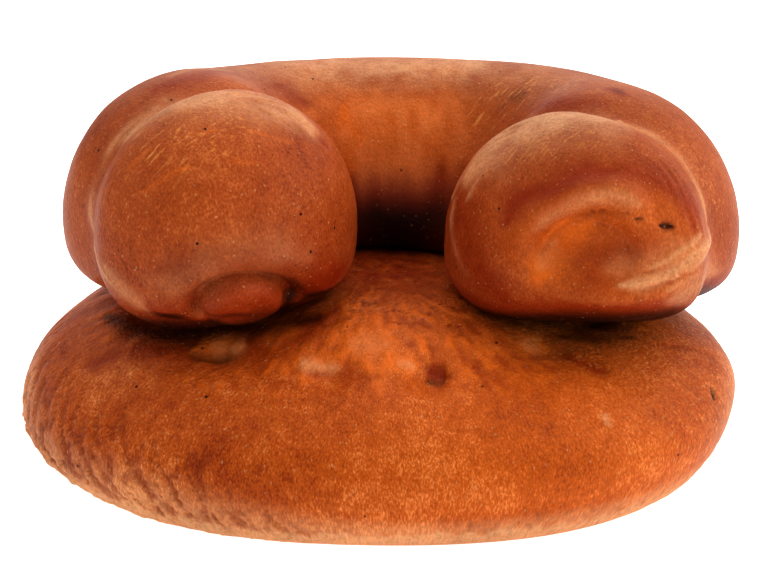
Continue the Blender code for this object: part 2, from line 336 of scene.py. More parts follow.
class Graph:
    """Adds shader nodes to a tree and joins them."""

    NUMBER_SUMS = ("LENGTH", "DOT_PRODUCT")

    def __init__(self, tree: bpy.types.NodeTree) -> None:
        """Keep the tree that nodes are added to."""
        self.tree = tree

    def feed(self, node: bpy.types.Node, inputs: dict) -> bpy.types.Node:
        """Give some of a node's inputs a value or another node's output.

        Args:
            node: The node.
            inputs: A value or another node's output for each input, by name or number.

        Returns:
            The node.
        """
        for name, value in inputs.items():
            if isinstance(value, bpy.types.NodeSocket):
                self.tree.links.new(value, node.inputs[name])
            else:
                node.inputs[name].default_value = value
        return node

    def add(self, kind: str, inputs: dict | None = None, **settings: object) -> bpy.types.Node:
        """Add one node.

        Args:
            kind: The node's type, without the word ShaderNode in front.
            inputs: A value or another node's output for some of its inputs.
            settings: Properties to set on the node.

        Returns:
            The node.
        """
        node = self.tree.nodes.new("ShaderNode" + kind)
        for name, value in settings.items():
            setattr(node, name, value)
        return self.feed(node, inputs or {})

    def math(self, operation: str, *values: object) -> bpy.types.NodeSocket:
        """Join values or outputs in one sum."""
        return self.add("Math", dict(enumerate(values)), operation=operation).outputs[0]

    def vector(self, operation: str, *values: object) -> bpy.types.NodeSocket:
        """Join vectors in one sum that gives a vector or a number."""
        node = self.add("VectorMath", dict(enumerate(values)), operation=operation)
        return node.outputs["Value" if operation in self.NUMBER_SUMS else "Vector"]

    def scale(self, vector: object, factor: object) -> bpy.types.NodeSocket:
        """Multiply a vector or a colour by a number."""
        inputs = {0: vector, "Scale": factor}
        return self.add("VectorMath", inputs, operation="SCALE").outputs["Vector"]

    def noise(self, place: object, scale: object, detail: float, **more: float) -> bpy.types.NodeSocket:
        """Add noise that has about as many lumps in a millimetre as its scale says."""
        inputs = {"Vector": place, "Scale": scale, "Detail": detail, **more}
        return self.add("TexNoise", inputs).outputs["Fac"]

    def mix(self, share: object, first: object, second: object) -> bpy.types.NodeSocket:
        """Blend two colours by a share."""
        return self.add("Mix", {0: share, 6: first, 7: second}, data_type="RGBA").outputs[2]

    def ramp(self, value: object, low: float, high: float) -> bpy.types.NodeSocket:
        """Turn a value into a smooth share from 0 at low to 1 at high."""
        inputs = {"Value": value, "From Min": low, "From Max": high}
        return self.add("MapRange", inputs, interpolation_type="SMOOTHSTEP").outputs[0]


def solid(colour: Colour) -> tuple[float, float, float, float]:
    """A colour with nothing showing through it."""
    return (*colour, 1.0)


def new_group(name: str, inputs: dict[str, object], outputs: dict[str, str]) -> tuple:
    """Start a shader node group with named sockets.

    Args:
        name: The group's name.
        inputs: The start value of each input: a number, a colour or None for a vector.
        outputs: The socket type of each output.

    Returns:
        The group, a graph for its nodes, the outputs of its input node, and its output node.
    """
    group = bpy.data.node_groups.new(name, "ShaderNodeTree")
    for label, value in inputs.items():
        kind = "NodeSocketFloat"
        if value is None:
            kind = "NodeSocketVector"
        elif isinstance(value, tuple):
            kind = "NodeSocketColor"
        socket = group.interface.new_socket(label, in_out="INPUT", socket_type=kind)
        if value is not None:
            socket.default_value = value
    for label, kind in outputs.items():
        group.interface.new_socket(label, in_out="OUTPUT", socket_type=kind)
    start = group.nodes.new("NodeGroupInput")
    end = group.nodes.new("NodeGroupOutput")
    return group, Graph(group), start.outputs, end


@dataclass(frozen=True)
class CrustGrain:
    """The grain of both crusts, as one node group.

    Attributes:
        pebble: How far apart pebbles are, in millimetres.
        blister: How far apart the places for blisters are, in millimetres.
        blister_share: Share of those places that have a blister.
        blister_radius: Radius of the smallest blister, as a share of their distance.
        blister_spread: How much larger the largest one's radius is.
        blister_height: How far a blister stands out, beside a pebble.
        pores: How many pores lie in a millimetre.
        pore_edge: Distances from its middle at which a pore begins and is whole.
        flakes: How many flakes lie in a millimetre.
        flake_edge: Noise at which a flake begins and is whole.
        streaks: How many streaks lie side by side in a millimetre.
        streak_edge: Noise at which a streak begins and is whole.
        streak_way: The way in which streaks run.
        streak_squeeze: How much shorter a step along a streak counts.
        detail, flake_detail: How many finer layers the noise has.
    """

    pebble: float = 0.8
    blister: float = 1.15
    blister_share: float = 0.4
    blister_radius: float = 0.10
    blister_spread: float = 0.16
    blister_height: float = 0.5
    pores: float = 0.16
    pore_edge: Pair = (0.05, 0.02)
    flakes: float = 1.6
    flake_edge: Pair = (0.32, 0.62)
    streaks: float = 1.5
    streak_edge: Pair = (0.54, 0.72)
    streak_way: Point = (0.62, 0.25, 0.74)
    streak_squeeze: float = 0.12
    detail: float = 3.0
    flake_detail: float = 4.0

    def blister_domes(self, graph: Graph, place: object, start: object) -> bpy.types.NodeSocket:
        """Add the round blisters.

        Args:
            graph: The group's nodes.
            place: Places, stretched as the blisters are.
            start: Outputs of the group's input node.

        Returns:
            1 in the middle of a blister, falling to 0 at its edge.
        """
        scale = graph.math("DIVIDE", 1.0, start["Blister"])
        cells = graph.add("TexVoronoi", {"Vector": place, "Scale": scale}).outputs
        chance = graph.add("SeparateColor", {0: cells["Color"]}).outputs
        chosen = graph.math("LESS_THAN", chance[0], start["Blister Share"])
        size = graph.math("MULTIPLY_ADD", chance[1], self.blister_spread, self.blister_radius)
        dome = graph.math("SUBTRACT", 1.0, graph.math("DIVIDE", cells["Distance"], size))
        return graph.math("MULTIPLY", chosen, graph.math("MAXIMUM", dome, 0.0))

    def streak_lines(self, graph: Graph, place: object) -> bpy.types.NodeSocket:
        """Add the fine streaks of pulled skin.

        Args:
            graph: The group's nodes.
            place: Places, in millimetres.

        Returns:
            1 on a streak and 0 beside it.
        """
        along = Vector(self.streak_way).normalized()
        across = along.cross((0.0, 1.0, 0.0)).normalized()
        axes = (across, along.cross(across), along * self.streak_squeeze)
        turned = {index: graph.vector("DOT_PRODUCT", place, tuple(axis)) for index, axis in enumerate(axes)}
        lengthways = graph.add("CombineXYZ", turned).outputs[0]
        return graph.ramp(graph.noise(lengthways, self.streaks, self.detail), *self.streak_edge)

    def group(self) -> bpy.types.NodeTree:
        """Build the node group of pebbles, blisters, pores, flakes and streaks.

        Returns:
            The group.
        """
        inputs = {"Place": None, "Pebble": self.pebble, "Blister": self.blister}
        inputs.update({"Blister Share": self.blister_share, "Stretch": 1.0})
        names = ("Height", "Blisters", "Pores", "Flakes", "Streaks")
        group, graph, start, end = new_group("crust_grain", inputs, dict.fromkeys(names, "NodeSocketFloat"))
        stretch = graph.add("CombineXYZ", {0: 1.0, 1: 1.0, 2: start["Stretch"]}).outputs[0]
        place = graph.vector("MULTIPLY", start["Place"], stretch)
        pebbles = graph.noise(place, graph.math("DIVIDE", 1.0, start["Pebble"]), self.detail)
        blisters = self.blister_domes(graph, place, start)
        holes = graph.add("TexVoronoi", {"Vector": start["Place"], "Scale": self.pores}).outputs
        pores = graph.ramp(holes["Distance"], *self.pore_edge)
        flakes = graph.ramp(graph.noise(place, self.flakes, self.flake_detail), *self.flake_edge)
        streaks = self.streak_lines(graph, start["Place"])
        height = graph.math("MULTIPLY_ADD", blisters, self.blister_height, pebbles)
        height = graph.math("SUBTRACT", height, pores)
        graph.feed(end, dict(zip(names, (height, blisters, pores, flakes, streaks))))
        return group


@dataclass(frozen=True)
class CrustTone:
    """The uneven browning of both crusts, as one node group.

    Attributes:
        dark, middle, light, fineness, mottle: Values that its inputs start with.
        patches: How many broad patches lie in a millimetre.
        patch_strength: How much they brown.
        level: Browning without them.
        mottles: How many mottles lie in a millimetre.
        freckle_strength: How much freckles brown.
        freckle_roughness: How ragged freckles are.
        steps: Browning at which the crust is dark, middle and light.
        detail, patch_detail: How many finer layers the noise has.
    """

    dark: Colour = (0.2, 0.03, 0.01)
    middle: Colour = (0.5, 0.1, 0.02)
    light: Colour = (0.6, 0.2, 0.04)
    fineness: float = 2.4
    mottle: float = 0.45
    patches: float = 0.06
    patch_strength: float = 0.45
    level: float = 0.405
    mottles: float = 0.45
    freckle_strength: float = 0.75
    freckle_roughness: float = 0.6
    steps: tuple[float, float, float] = (0.76, 1.00, 1.24)
    detail: float = 3.0
    patch_detail: float = 2.0

    def group(self) -> bpy.types.NodeTree:
        """Build the node group of the browning.

        Returns:
            The group.
        """
        inputs = {"Place": None, "Flow": None, "Fineness": self.fineness, "Mottle": self.mottle}
        inputs.update({"Dark": solid(self.dark), "Middle": solid(self.middle), "Light": solid(self.light)})
        outputs = {"Color": "NodeSocketColor", "Depth": "NodeSocketFloat"}
        group, graph, start, end = new_group("crust_tone", inputs, outputs)
        patches = graph.noise(start["Place"], self.patches, self.patch_detail)
        mottle = graph.noise(start["Place"], self.mottles, self.detail)
        rough = {"Roughness": self.freckle_roughness}
        freckle = graph.noise(start["Flow"], start["Fineness"], self.detail, **rough)
        value = graph.math("MULTIPLY_ADD", patches, self.patch_strength, self.level)
        uneven = graph.math("SUBTRACT", mottle, 0.5)
        value = graph.math("MULTIPLY_ADD", uneven, start["Mottle"], value)
        value = graph.math("MULTIPLY_ADD", freckle, self.freckle_strength, value)
        lower = graph.mix(graph.ramp(value, *self.steps[:2]), start["Dark"], start["Middle"])
        colour = graph.mix(graph.ramp(value, *self.steps[1:]), lower, start["Light"])
        graph.feed(end, {"Color": colour, "Depth": value})
        return group


# Finishes -------------------------------------------------------------------------


@dataclass(frozen=True)
class CrustFinish:
    """An egg-washed, baked crust.

    Attributes:
        name: Name of its material.
        dark, middle, light: Colours of its uneven browning.
        golden: Colour of where the skin stretched.
        baked: Colour of what the oven browned most, also of painted shade near and under the roll.
        pale: Colour of worn and floury places, also of painted sheen and reflection on crests and rims.
        crease: Painted shade in creases and where the breads touch; also pores, cracks and tears.
        streak: Colour of fine lines where the skin was pulled.
        blister_share: Share of the places for blisters that have one.
        stretch: How much longer than wide blisters are, as a scale along Z.
        roughness: Roughness of its skin.
        gloss: How much of the light its skin mirrors.
        bump: Height of its grain, in metres.
        fibre_radius: Where its fibres run out from the middle, the distance from there, in
            millimetres, at which they are as fine as elsewhere. 0 where they stand upright.
        fineness: How many of its fibres lie side by side in about a millimetre.
        mottle: How uneven its browning is over a few millimetres.
        depth: How much darker and lighter its browning makes every colour.
    """

    name: str
    dark: Colour
    middle: Colour
    light: Colour
    golden: Colour = (0.80, 0.19, 0.016)
    baked: Colour = (0.31, 0.028, 0.002)
    pale: Colour = (0.78, 0.40, 0.19)
    crease: Colour = (0.025, 0.003, 0.001)
    streak: Colour = (0.80, 0.34, 0.09)
    blister_share: float = 0.4
    stretch: float = 1.0
    roughness: float = 0.42
    gloss: float = 0.13
    bump: float = 0.0002
    fibre_radius: float = 0.0
    fineness: float = 2.4
    mottle: float = 0.45
    depth: float = 0.5

    UPRIGHT_SQUEEZE = 0.55
    OUTWARD_SQUEEZE = 0.35
    TORN_LEAST = 0.75
    TORN_SPREAD = 0.35
    SPECK_STRENGTH = 0.7
    ROUGH_SPREAD = 0.12

    def flow(self, graph: Graph, place: bpy.types.NodeSocket) -> bpy.types.NodeSocket:
        """Squeeze places along the way in which the fibres of the skin run.

        Args:
            graph: The material's nodes.
            place: Places, in millimetres.

        Returns:
            The squeezed places.
        """
        if not self.fibre_radius:
            return graph.vector("MULTIPLY", place, (1.0, 1.0, self.UPRIGHT_SQUEEZE))
        flat = graph.vector("MULTIPLY", place, (1.0, 1.0, 0.0))
        out = graph.vector("LENGTH", flat)
        up = graph.add("SeparateXYZ", {0: place}).outputs[2]
        around = graph.scale(graph.vector("NORMALIZE", flat), self.fibre_radius)
        down = graph.math("MULTIPLY", graph.math("SUBTRACT", out, up), self.OUTWARD_SQUEEZE)
        return graph.vector("ADD", around, graph.add("CombineXYZ", {2: down}).outputs[0])

    def colour(self, graph: Graph, grained: object, toned: object) -> bpy.types.NodeSocket:
        """Tint the browning by the piece's masks.

        Args:
            graph: The material's nodes.
            grained: Outputs of the grain's group.
            toned: Outputs of the browning's group.

        Returns:
            The crust's colour.
        """
        # The baked and crease tints also paint shade; the pale tint also paints sheen and reflection.
        tints = {
            Mask.GOLDEN: self.golden,
            Mask.BAKED: self.baked,
            Mask.PALE: self.pale,
            Mask.CREASE: self.crease,
        }
        colour = toned["Color"]
        torn = graph.math("MULTIPLY_ADD", grained["Flakes"], self.TORN_SPREAD, self.TORN_LEAST)
        for mask, tint in tints.items():
            share = graph.add("Attribute", attribute_name=mask.value).outputs["Fac"]
            if mask is Mask.PALE:
                share = graph.math("MULTIPLY", share, torn)
            colour = graph.mix(share, colour, solid(tint))
        depth = graph.math("MULTIPLY_ADD", toned["Depth"], self.depth, 1.0 - self.depth)
        colour = graph.scale(colour, depth)
        stretched = graph.add("Attribute", attribute_name=Mask.STRETCHED.value).outputs["Fac"]
        fibres = graph.math("MULTIPLY", stretched, grained["Streaks"])
        colour = graph.mix(fibres, colour, solid(self.streak))
        specks = graph.math("MULTIPLY", grained["Blisters"], self.SPECK_STRENGTH)
        colour = graph.mix(specks, colour, solid(self.pale))
        return graph.mix(grained["Pores"], colour, solid(self.crease))

    def material(self, grain: bpy.types.NodeTree, tone: bpy.types.NodeTree) -> bpy.types.Material:
        """Make the crust's material.

        Args:
            grain: The node group of pebbles, blisters, pores, flakes and streaks.
            tone: The node group of uneven browning.

        Returns:
            The material.
        """
        made = bpy.data.materials.new(self.name)
        made.use_nodes = True
        graph = Graph(made.node_tree)
        place = graph.scale(graph.add("TexCoord").outputs["Object"], 1.0 / METRES_PER_MM)
        inputs = {"Place": place, "Blister Share": self.blister_share, "Stretch": self.stretch}
        grained = graph.add("Group", inputs, node_tree=grain).outputs
        inputs = {"Place": place, "Flow": self.flow(graph, place)}
        inputs.update({"Fineness": self.fineness, "Mottle": self.mottle})
        inputs.update({"Dark": solid(self.dark), "Middle": solid(self.middle), "Light": solid(self.light)})
        toned = graph.add("Group", inputs, node_tree=tone).outputs
        height = grained["Height"]
        smoothest = self.roughness - self.ROUGH_SPREAD / 2.0
        roughness = graph.math("MULTIPLY_ADD", height, self.ROUGH_SPREAD, smoothest)
        bump = graph.add("Bump", {"Height": height, "Distance": self.bump}).outputs["Normal"]
        looks = {"Base Color": self.colour(graph, grained, toned), "Roughness": roughness}
        looks.update({"Normal": bump, "Specular IOR Level": self.gloss})
        graph.feed(made.node_tree.nodes["Principled BSDF"], looks)
        return made


def make_piece(name: str, skin: Skin, material: bpy.types.Material) -> bpy.types.Object:
    """Make one object of a skin.

    Args:
        name: The piece's name.
        skin: Its corners, cells and masks.
        material: Its finish.

    Returns:
        The object, linked to the scene.
    """
    mesh = bpy.data.meshes.new(name)
    mesh.from_pydata((skin.points * METRES_PER_MM).tolist(), [], skin.quads.tolist())
    mesh.update()
    mesh.shade_smooth()
    mesh.materials.append(material)
    for mask, values in skin.masks.items():
        attribute = mesh.attributes.new(mask.value, "FLOAT", "POINT")
        attribute.data.foreach_set("value", np.clip(values, 0.0, 1.0).astype(np.float32))
    piece = bpy.data.objects.new(name, mesh)
    bpy.context.scene.collection.objects.link(piece)
    return piece


# Round bun ------------------------------------------------------------------------


@dataclass
class RoundBun:
    """The round flat bun at the bottom, with its ring of finger pokes. Sizes in mm.

    A pair of numbers is where something starts and where it is whole. A sway's pair is its
    size and its beat from poke to poke, and tear_lean's is the left and the right side's.
    """

    # Form.
    radius: float = 65.2
    oval: float = 0.057
    corners: float = 0.008
    skew: float = 0.014
    lean: float = 0.022
    waist_height: float = 10.4
    height: float = 29.2
    flat_radius: float = 58.5
    dome_power: float = 2.78
    shoulder_power: float = 2.18
    foot_power: float = 1.7
    shoulder_drop: float = 0.15
    rim_lift: float = 2.3
    foot_turn: float = math.radians(48.0)
    puff_height: float = 1.0
    puff_radius: float = 30.0
    swelling: Layers = (Unevenness(11, 24.0, 0.35), Unevenness(11, 9.0, 0.14), Unevenness(11, 3.2, 0.05))
    swelling_foot: Pair = (0.0, 3.0)
    # Ring of pokes.
    ring_radius: float = 43.2
    ring_width: float = 4.5
    ring_depth: float = 0.7
    pokes: int = 14
    poke_first_angle: float = math.radians(232.5)
    poke_radius: float = 3.5
    poke_depth: float = 1.7
    turn_sway: Pair = (0.1, 2.3)
    radius_sway: Pair = (0.02, 4.1)
    depth_sway: Pair = (0.25, 3.7)
    # Pale rim low on the bun: paler dough, with painted reflection of the bright floor.
    rag: Layers = (Unevenness(41, 1.6), Unevenness(42, 0.8, 0.5))
    rim_height: float = 5.2
    rim_rag: float = 1.0
    rim_fade: float = 3.0
    rim_whole: float = 0.6
    rim_paleness: float = 0.8
    rim_right: float = 0.5
    rim_right_span: Pair = (10.0, 40.0)
    fade_paleness: float = 0.45
    left_paleness: float = 0.2
    left_span: Pair = (5.0, -40.0)
    left_fade: float = 7.0
    ragged: Unevenness = Unevenness(51, 1.1)
    rag_height: float = 0.45
    rag_foot: Pair = (0.3, 2.0)
    rag_rest: float = 0.4
    side_span: Pair = (52.0, 68.0)
    side_rise: Pair = (21.0, 12.0)
    side_paleness: float = 0.45
    # Torn places and fine ragged lines in the rim. Their tops are in shares of its fade.
    tear_lean: Pair = (0.5, -0.25)
    tear_squeeze: float = 0.3
    tears: Unevenness = Unevenness(43, 1.1)
    tear_edge: Pair = (0.15, 0.45)
    tear_top: Pair = (1.5, 0.5)
    tear_foot: float = 1.0
    lines: Unevenness = Unevenness(50, 1.7)
    line_edge: Pair = (0.14, 0.03)
    line_top: Pair = (2.0, 1.0)
    line_foot: float = 2.0
    line_share: float = 0.8
    tear_rest: float = 0.2
    tear_bare: float = 0.75
    tear_brown: float = 0.5
    tear_dark: float = 0.22
    tear_depth: float = 0.45
    # Golden right side with its streaks.
    right_gold: float = 0.32
    right_span: Pair = (-35.0, 30.0)
    right_end: Pair = (66.0, 50.0)
    flank_streaks: float = 0.6
    flank_span: Pair = (30.0, 60.0)
    # Risen middle, golden behind and brown in front, the brown partly painted shade inside the horseshoe.
    puff_front: Pair = (-26.0, -8.0)
    puff_rise: Pair = (24.0, 26.0)
    puff_gold: float = 0.35
    puff_brown_and_shade: float = 0.75
    puff_cracks: Layers = (Unevenness(44, 2.0), Unevenness(45, 0.9))
    crack_share: float = 0.35
    # Painted shade on the crust beside the roll, browner, and near black where they touch.
    shade_brown_span: Pair = (23.0, 14.0)
    touch_span: Pair = (12.5, 9.0)
    cover_rag: float = 1.5
    shade_brown: float = 0.75
    cover_right: float = 0.7
    cover_right_span: Pair = (-10.0, 15.0)
    contact_shade: float = 0.9
    touch_right: float = 0.35
    touch_right_span: Pair = (5.0, 25.0)
    # Blotches and fine cracks of the upper side.
    upper_rise: Pair = (21.5, 25.5)
    blotch_squeeze: float = 0.6
    ray_squeeze: float = 0.3
    blotches: Unevenness = Unevenness(46, 1.0)
    fine_blotches: Unevenness = Unevenness(47, 1.3, 0.6)
    blotch_edge: Pair = (0.1, 0.6)
    mottle_gold: float = 0.9
    mottle_brown: float = 0.5
    mottle_height: float = 0.2
    cracks: Unevenness = Unevenness(48, 2.2)
    crack_edge: Pair = (0.07, 0.0)
    crack_places: Unevenness = Unevenness(49, 4.5)
    crack_places_edge: Pair = (0.0, 0.4)
    crack_reach: Pair = (46.0, 36.0)
    crack_brown: float = 0.8
    crack_dark: float = 0.35
    crack_depth: float = 0.2
    cells: tuple[int, int, int] = (148, 148, 64)
    finish: CrustFinish = CrustFinish(
        "bun_crust",
        dark=(0.35, 0.040, 0.003),
        middle=(0.51, 0.104, 0.008),
        light=(0.70, 0.265, 0.080),
        blister_share=0.8,
        stretch=0.6,
        bump=0.00035,
        fibre_radius=50.0,
        fineness=4.2,
        mottle=0.3,
        depth=1.0,
    )

    def outline(self, angle: Array) -> Array:
        """Radius of the waist, seen from above.

        Args:
            angle: Directions from the middle.

        Returns:
            A radius for each.
        """
        oval = self.oval * np.cos(2.0 * angle) - self.skew * np.sin(2.0 * angle)
        corners = self.corners * np.cos(4.0 * angle)
        return self.radius * (1.0 + oval - corners - self.lean * np.sin(3.0 * angle))

    def dome(self, share: Array, angle: Array) -> Array:
        """Height of the upper side at a share of the outline's radius.

        Args:
            share: Distance from the middle, as a share of the radius.
            angle: Direction from the middle.

        Returns:
            A height for each.
        """
        drop = 1.0 - self.shoulder_drop * np.cos(angle) * share**2
        curve = np.clip(1.0 - share**self.dome_power, 0.0, 1.0) ** (1.0 / self.shoulder_power)
        lift = self.rim_lift * np.cos(angle) * share**4
        return self.waist_height + (self.height - self.waist_height) * drop * curve + lift

    def puff(self, x: Array, y: Array) -> Array:
        """The risen middle inside the ring of pokes."""
        return self.puff_height * bell(np.hypot(x, y), self.puff_radius)

    def top(self, x: Array, y: Array) -> Array:
        """Height of the skin at a point seen from above, without its hollows.

        Args:
            x, y: Places, seen from above.

        Returns:
            A height for each.
        """
        angle = np.arctan2(y, x)
        share = np.clip(np.hypot(x, y) / self.outline(angle), 0.0, 1.0)
        return self.dome(share, angle) + self.puff(x, y)

    @staticmethod
    def sway(number: int, size_and_beat: Pair) -> float:
        """How far one poke is off, from its number and the sway's size and beat."""
        size, beat = size_and_beat
        return size * math.sin(beat * number)

    def hollows(self, x: Array, y: Array) -> Array:
        """Depth of the ring of finger pokes and the soft groove that joins them.

        Args:
            x, y: Places, seen from above.

        Returns:
            A depth for each.
        """
        depth = self.ring_depth * bell(np.hypot(x, y) - self.ring_radius, self.ring_width)
        for number in range(self.pokes):
            turn = number + self.sway(number, self.turn_sway)
            angle = self.poke_first_angle + 2.0 * math.pi * turn / self.pokes
            radius = self.ring_radius * (1.0 + self.sway(number, self.radius_sway))
            away = np.hypot(x - radius * math.cos(angle), y - radius * math.sin(angle))
            deep = self.poke_depth * (1.0 + self.sway(number, self.depth_sway))
            depth += deep * bell(away, self.poke_radius)
        return depth

    def skin(self, cube: Array) -> Array:
        """The bun's plain skin, from the corners of a box grid.

        Args:
            cube: The corners, on a box of half side 1.

        Returns:
            The corners on the skin.
        """
        direction = ball_directions(cube)
        angle = np.arctan2(direction[:, 1], direction[:, 0])
        outline = self.outline(angle)
        slant = np.arctan2(direction[:, 2], np.hypot(direction[:, 0], direction[:, 1]))
        upper_share = np.cos(slant)
        top = self.dome(upper_share, angle)
        turn = np.clip(-slant / self.foot_turn, 0.0, 1.0) * math.pi / 2.0
        flat = self.flat_radius / self.radius
        foot_share = flat + (1.0 - flat) * np.cos(turn) ** (2.0 / self.foot_power)
        rest = math.pi / 2.0 - self.foot_turn
        inward = np.clip((math.pi / 2.0 + slant) / rest, 0.0, 1.0)
        waist = self.waist_height + self.rim_lift * np.cos(angle)
        foot = waist * (1.0 - np.sin(turn) ** (2.0 / self.foot_power))
        upper = slant > 0.0
        share = np.where(upper, upper_share, foot_share * inward)
        x = share * outline * np.cos(angle)
        y = share * outline * np.sin(angle)
        skin = top + self.puff(x, y) - self.hollows(x, y)
        return np.stack((x, y, np.where(upper, skin, foot)), axis=1)

    def pale_rim(self, skin: Skin, rag: Array, turned: Array) -> None:
        """Paint and tear the pale rim low on the bun, paler dough with painted reflection of the floor.

        Args:
            skin: The bun's skin.
            rag: How ragged edges are at each corner.
            turned: Where each corner lies along the rim, turned the way its tears lean.
        """
        x, _, z = skin.points.T
        left = smooth_step(x, *self.left_span)
        fade = self.rim_fade + self.left_fade * left
        rim = self.rim_height + self.rim_rag * rag
        # Paler dough with painted reflection of the bright floor, fading up from the foot.
        low = (self.fade_paleness + self.left_paleness * left) * smooth_step(z + rag, rim + fade, rim)
        paleness = self.rim_paleness * (1.0 - self.rim_right * smooth_step(x, *self.rim_right_span))
        skin.paint(Mask.PALE, low + paleness * smooth_step(z, rim, self.rim_whole * rim))
        tears = smooth_step(self.tears.at(turned), *self.tear_edge)
        top, whole = (rim + share * fade for share in self.tear_top)
        tears *= smooth_step(z, top, whole) * smooth_step(z, self.tear_foot, rim)
        lines = smooth_step(np.abs(self.lines.at(turned)), *self.line_edge)
        top, whole = (rim + share * fade for share in self.line_top)
        lines *= smooth_step(z, top, whole) * smooth_step(z, self.line_foot, rim)
        tears = np.maximum(tears, self.line_share * lines)
        tears *= self.tear_rest + (1.0 - self.tear_rest) * left
        skin.bare(Mask.PALE, self.tear_bare * tears)
        skin.paint(Mask.BAKED, self.tear_brown * tears)
        skin.paint(Mask.CREASE, self.tear_dark * tears)
        skin.raise_by(-self.tear_depth * tears)
        ragged = smooth_step(z, rim + fade, rim) * smooth_step(z, *self.rag_foot)
        ragged *= self.rag_rest + (1.0 - self.rag_rest) * left
        skin.raise_by(self.rag_height * ragged * self.ragged.at(skin.points))

    def browning(self, skin: Skin, away: Array) -> None:
        """Paint where the oven left the crust darker or paler, with painted shade where the roll on top lies
        and painted reflection on the rim.

        Args:
            skin: The bun's skin.
            away: How far each corner is from the roll's middle line, seen from above.
        """
        x, y, z = skin.points.T
        around = np.arctan2(y, x) * self.radius + z * np.where(x < 0.0, *self.tear_lean)
        turned = np.stack((around, z * self.tear_squeeze, np.zeros_like(z)), axis=1)
        rag = all_at(self.rag, turned)
        self.pale_rim(skin, rag, turned)
        side = smooth_step(np.abs(x), *self.side_span) * smooth_step(z, *self.side_rise)
        skin.paint(Mask.PALE, self.side_paleness * side)
        gold = smooth_step(x, *self.right_span) * smooth_step(x, *self.right_end)
        skin.paint(Mask.GOLDEN, self.right_gold * gold)
        skin.paint(Mask.STRETCHED, self.flank_streaks * smooth_step(x, *self.flank_span))
        front = smooth_step(y, *self.puff_front) * bell(np.hypot(x, y), self.puff_radius)
        risen = smooth_step(z, *self.puff_rise)
        skin.paint(Mask.GOLDEN, self.puff_gold * risen * (1.0 - front))
        # The brown of the risen middle is partly painted shade inside the horseshoe.
        cracks = all_at(self.puff_cracks, skin.points)
        skin.paint(Mask.BAKED, self.puff_brown_and_shade * front * (1.0 + self.crack_share * cracks))
        self.mottle(skin)
        # Painted shade on the bun beside the roll, browner, and near black where they touch.
        above = z > self.waist_height
        brown = self.shade_brown - self.cover_right * smooth_step(x, *self.cover_right_span)
        beside = smooth_step(away + self.cover_rag * rag, *self.shade_brown_span)
        skin.paint(Mask.BAKED, brown * beside * above)
        dark = self.contact_shade * (1.0 - self.touch_right * smooth_step(x, *self.touch_right_span))
        skin.paint(Mask.CREASE, dark * smooth_step(away, *self.touch_span) * above)

    def mottle(self, skin: Skin) -> None:
        """Paint and raise the blotches and fine cracks of the bun's upper side.

        Args:
            skin: The bun's skin.
        """
        x, y, z = skin.points.T
        upper = smooth_step(z, *self.upper_rise)
        deep = skin.points * (1.0, self.blotch_squeeze, 1.0)
        across = np.hypot(x, y)
        out = np.maximum(across, 1.0)
        round_x, round_y = x / out * self.ring_radius, y / out * self.ring_radius
        rays = np.stack((round_x, round_y, self.ray_squeeze * out), axis=1)
        blotch = self.blotches.at(rays) + self.fine_blotches.at(deep)
        skin.paint(Mask.GOLDEN, self.mottle_gold * upper * smooth_step(blotch, *self.blotch_edge))
        skin.paint(Mask.BAKED, self.mottle_brown * upper * smooth_step(-blotch, *self.blotch_edge))
        crack = smooth_step(np.abs(self.cracks.at(deep)), *self.crack_edge)
        crack *= smooth_step(self.crack_places.at(deep), *self.crack_places_edge)
        inner = smooth_step(across, *self.crack_reach)
        skin.paint(Mask.BAKED, self.crack_brown * upper * inner * crack)
        skin.paint(Mask.CREASE, self.crack_dark * upper * inner * crack)
        skin.raise_by(upper * (self.mottle_height * blotch - self.crack_depth * crack))

    def build(self, roll: "HorseshoeRoll", groups: Groups) -> bpy.types.Object:
        """Make the bun's piece.

        Args:
            roll: The roll that lies on it.
            groups: The node groups of the crust's grain and tone.

        Returns:
            The object.
        """
        cube, quads = box_grid(self.cells)
        skin = Skin(self.skin(cube), quads)
        swelling = all_at(self.swelling, skin.points)
        skin.raise_by(swelling * smooth_step(skin.points[:, 2], *self.swelling_foot))
        self.browning(skin, roll.away(skin.points))
        skin.put(BUN_MARKS)
        piece = make_piece("round_bun_crust", skin, self.finish.material(*groups))
        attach(piece, BODY)
        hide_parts("round_bun")
        return piece


# Horseshoe roll -------------------------------------------------------------------


@dataclass(frozen=True)
class Oval:
    """An oval on one of the roll's ends, seen from the front. Sizes in mm."""

    x: float
    z: float
    half_width: float
    half_height: float

    def radius(self, skin: Array) -> Array:
        """How far out points lie: 0 in the middle, 1 on the edge."""
        return np.hypot((skin[:, 0] - self.x) / self.half_width, (skin[:, 2] - self.z) / self.half_height)


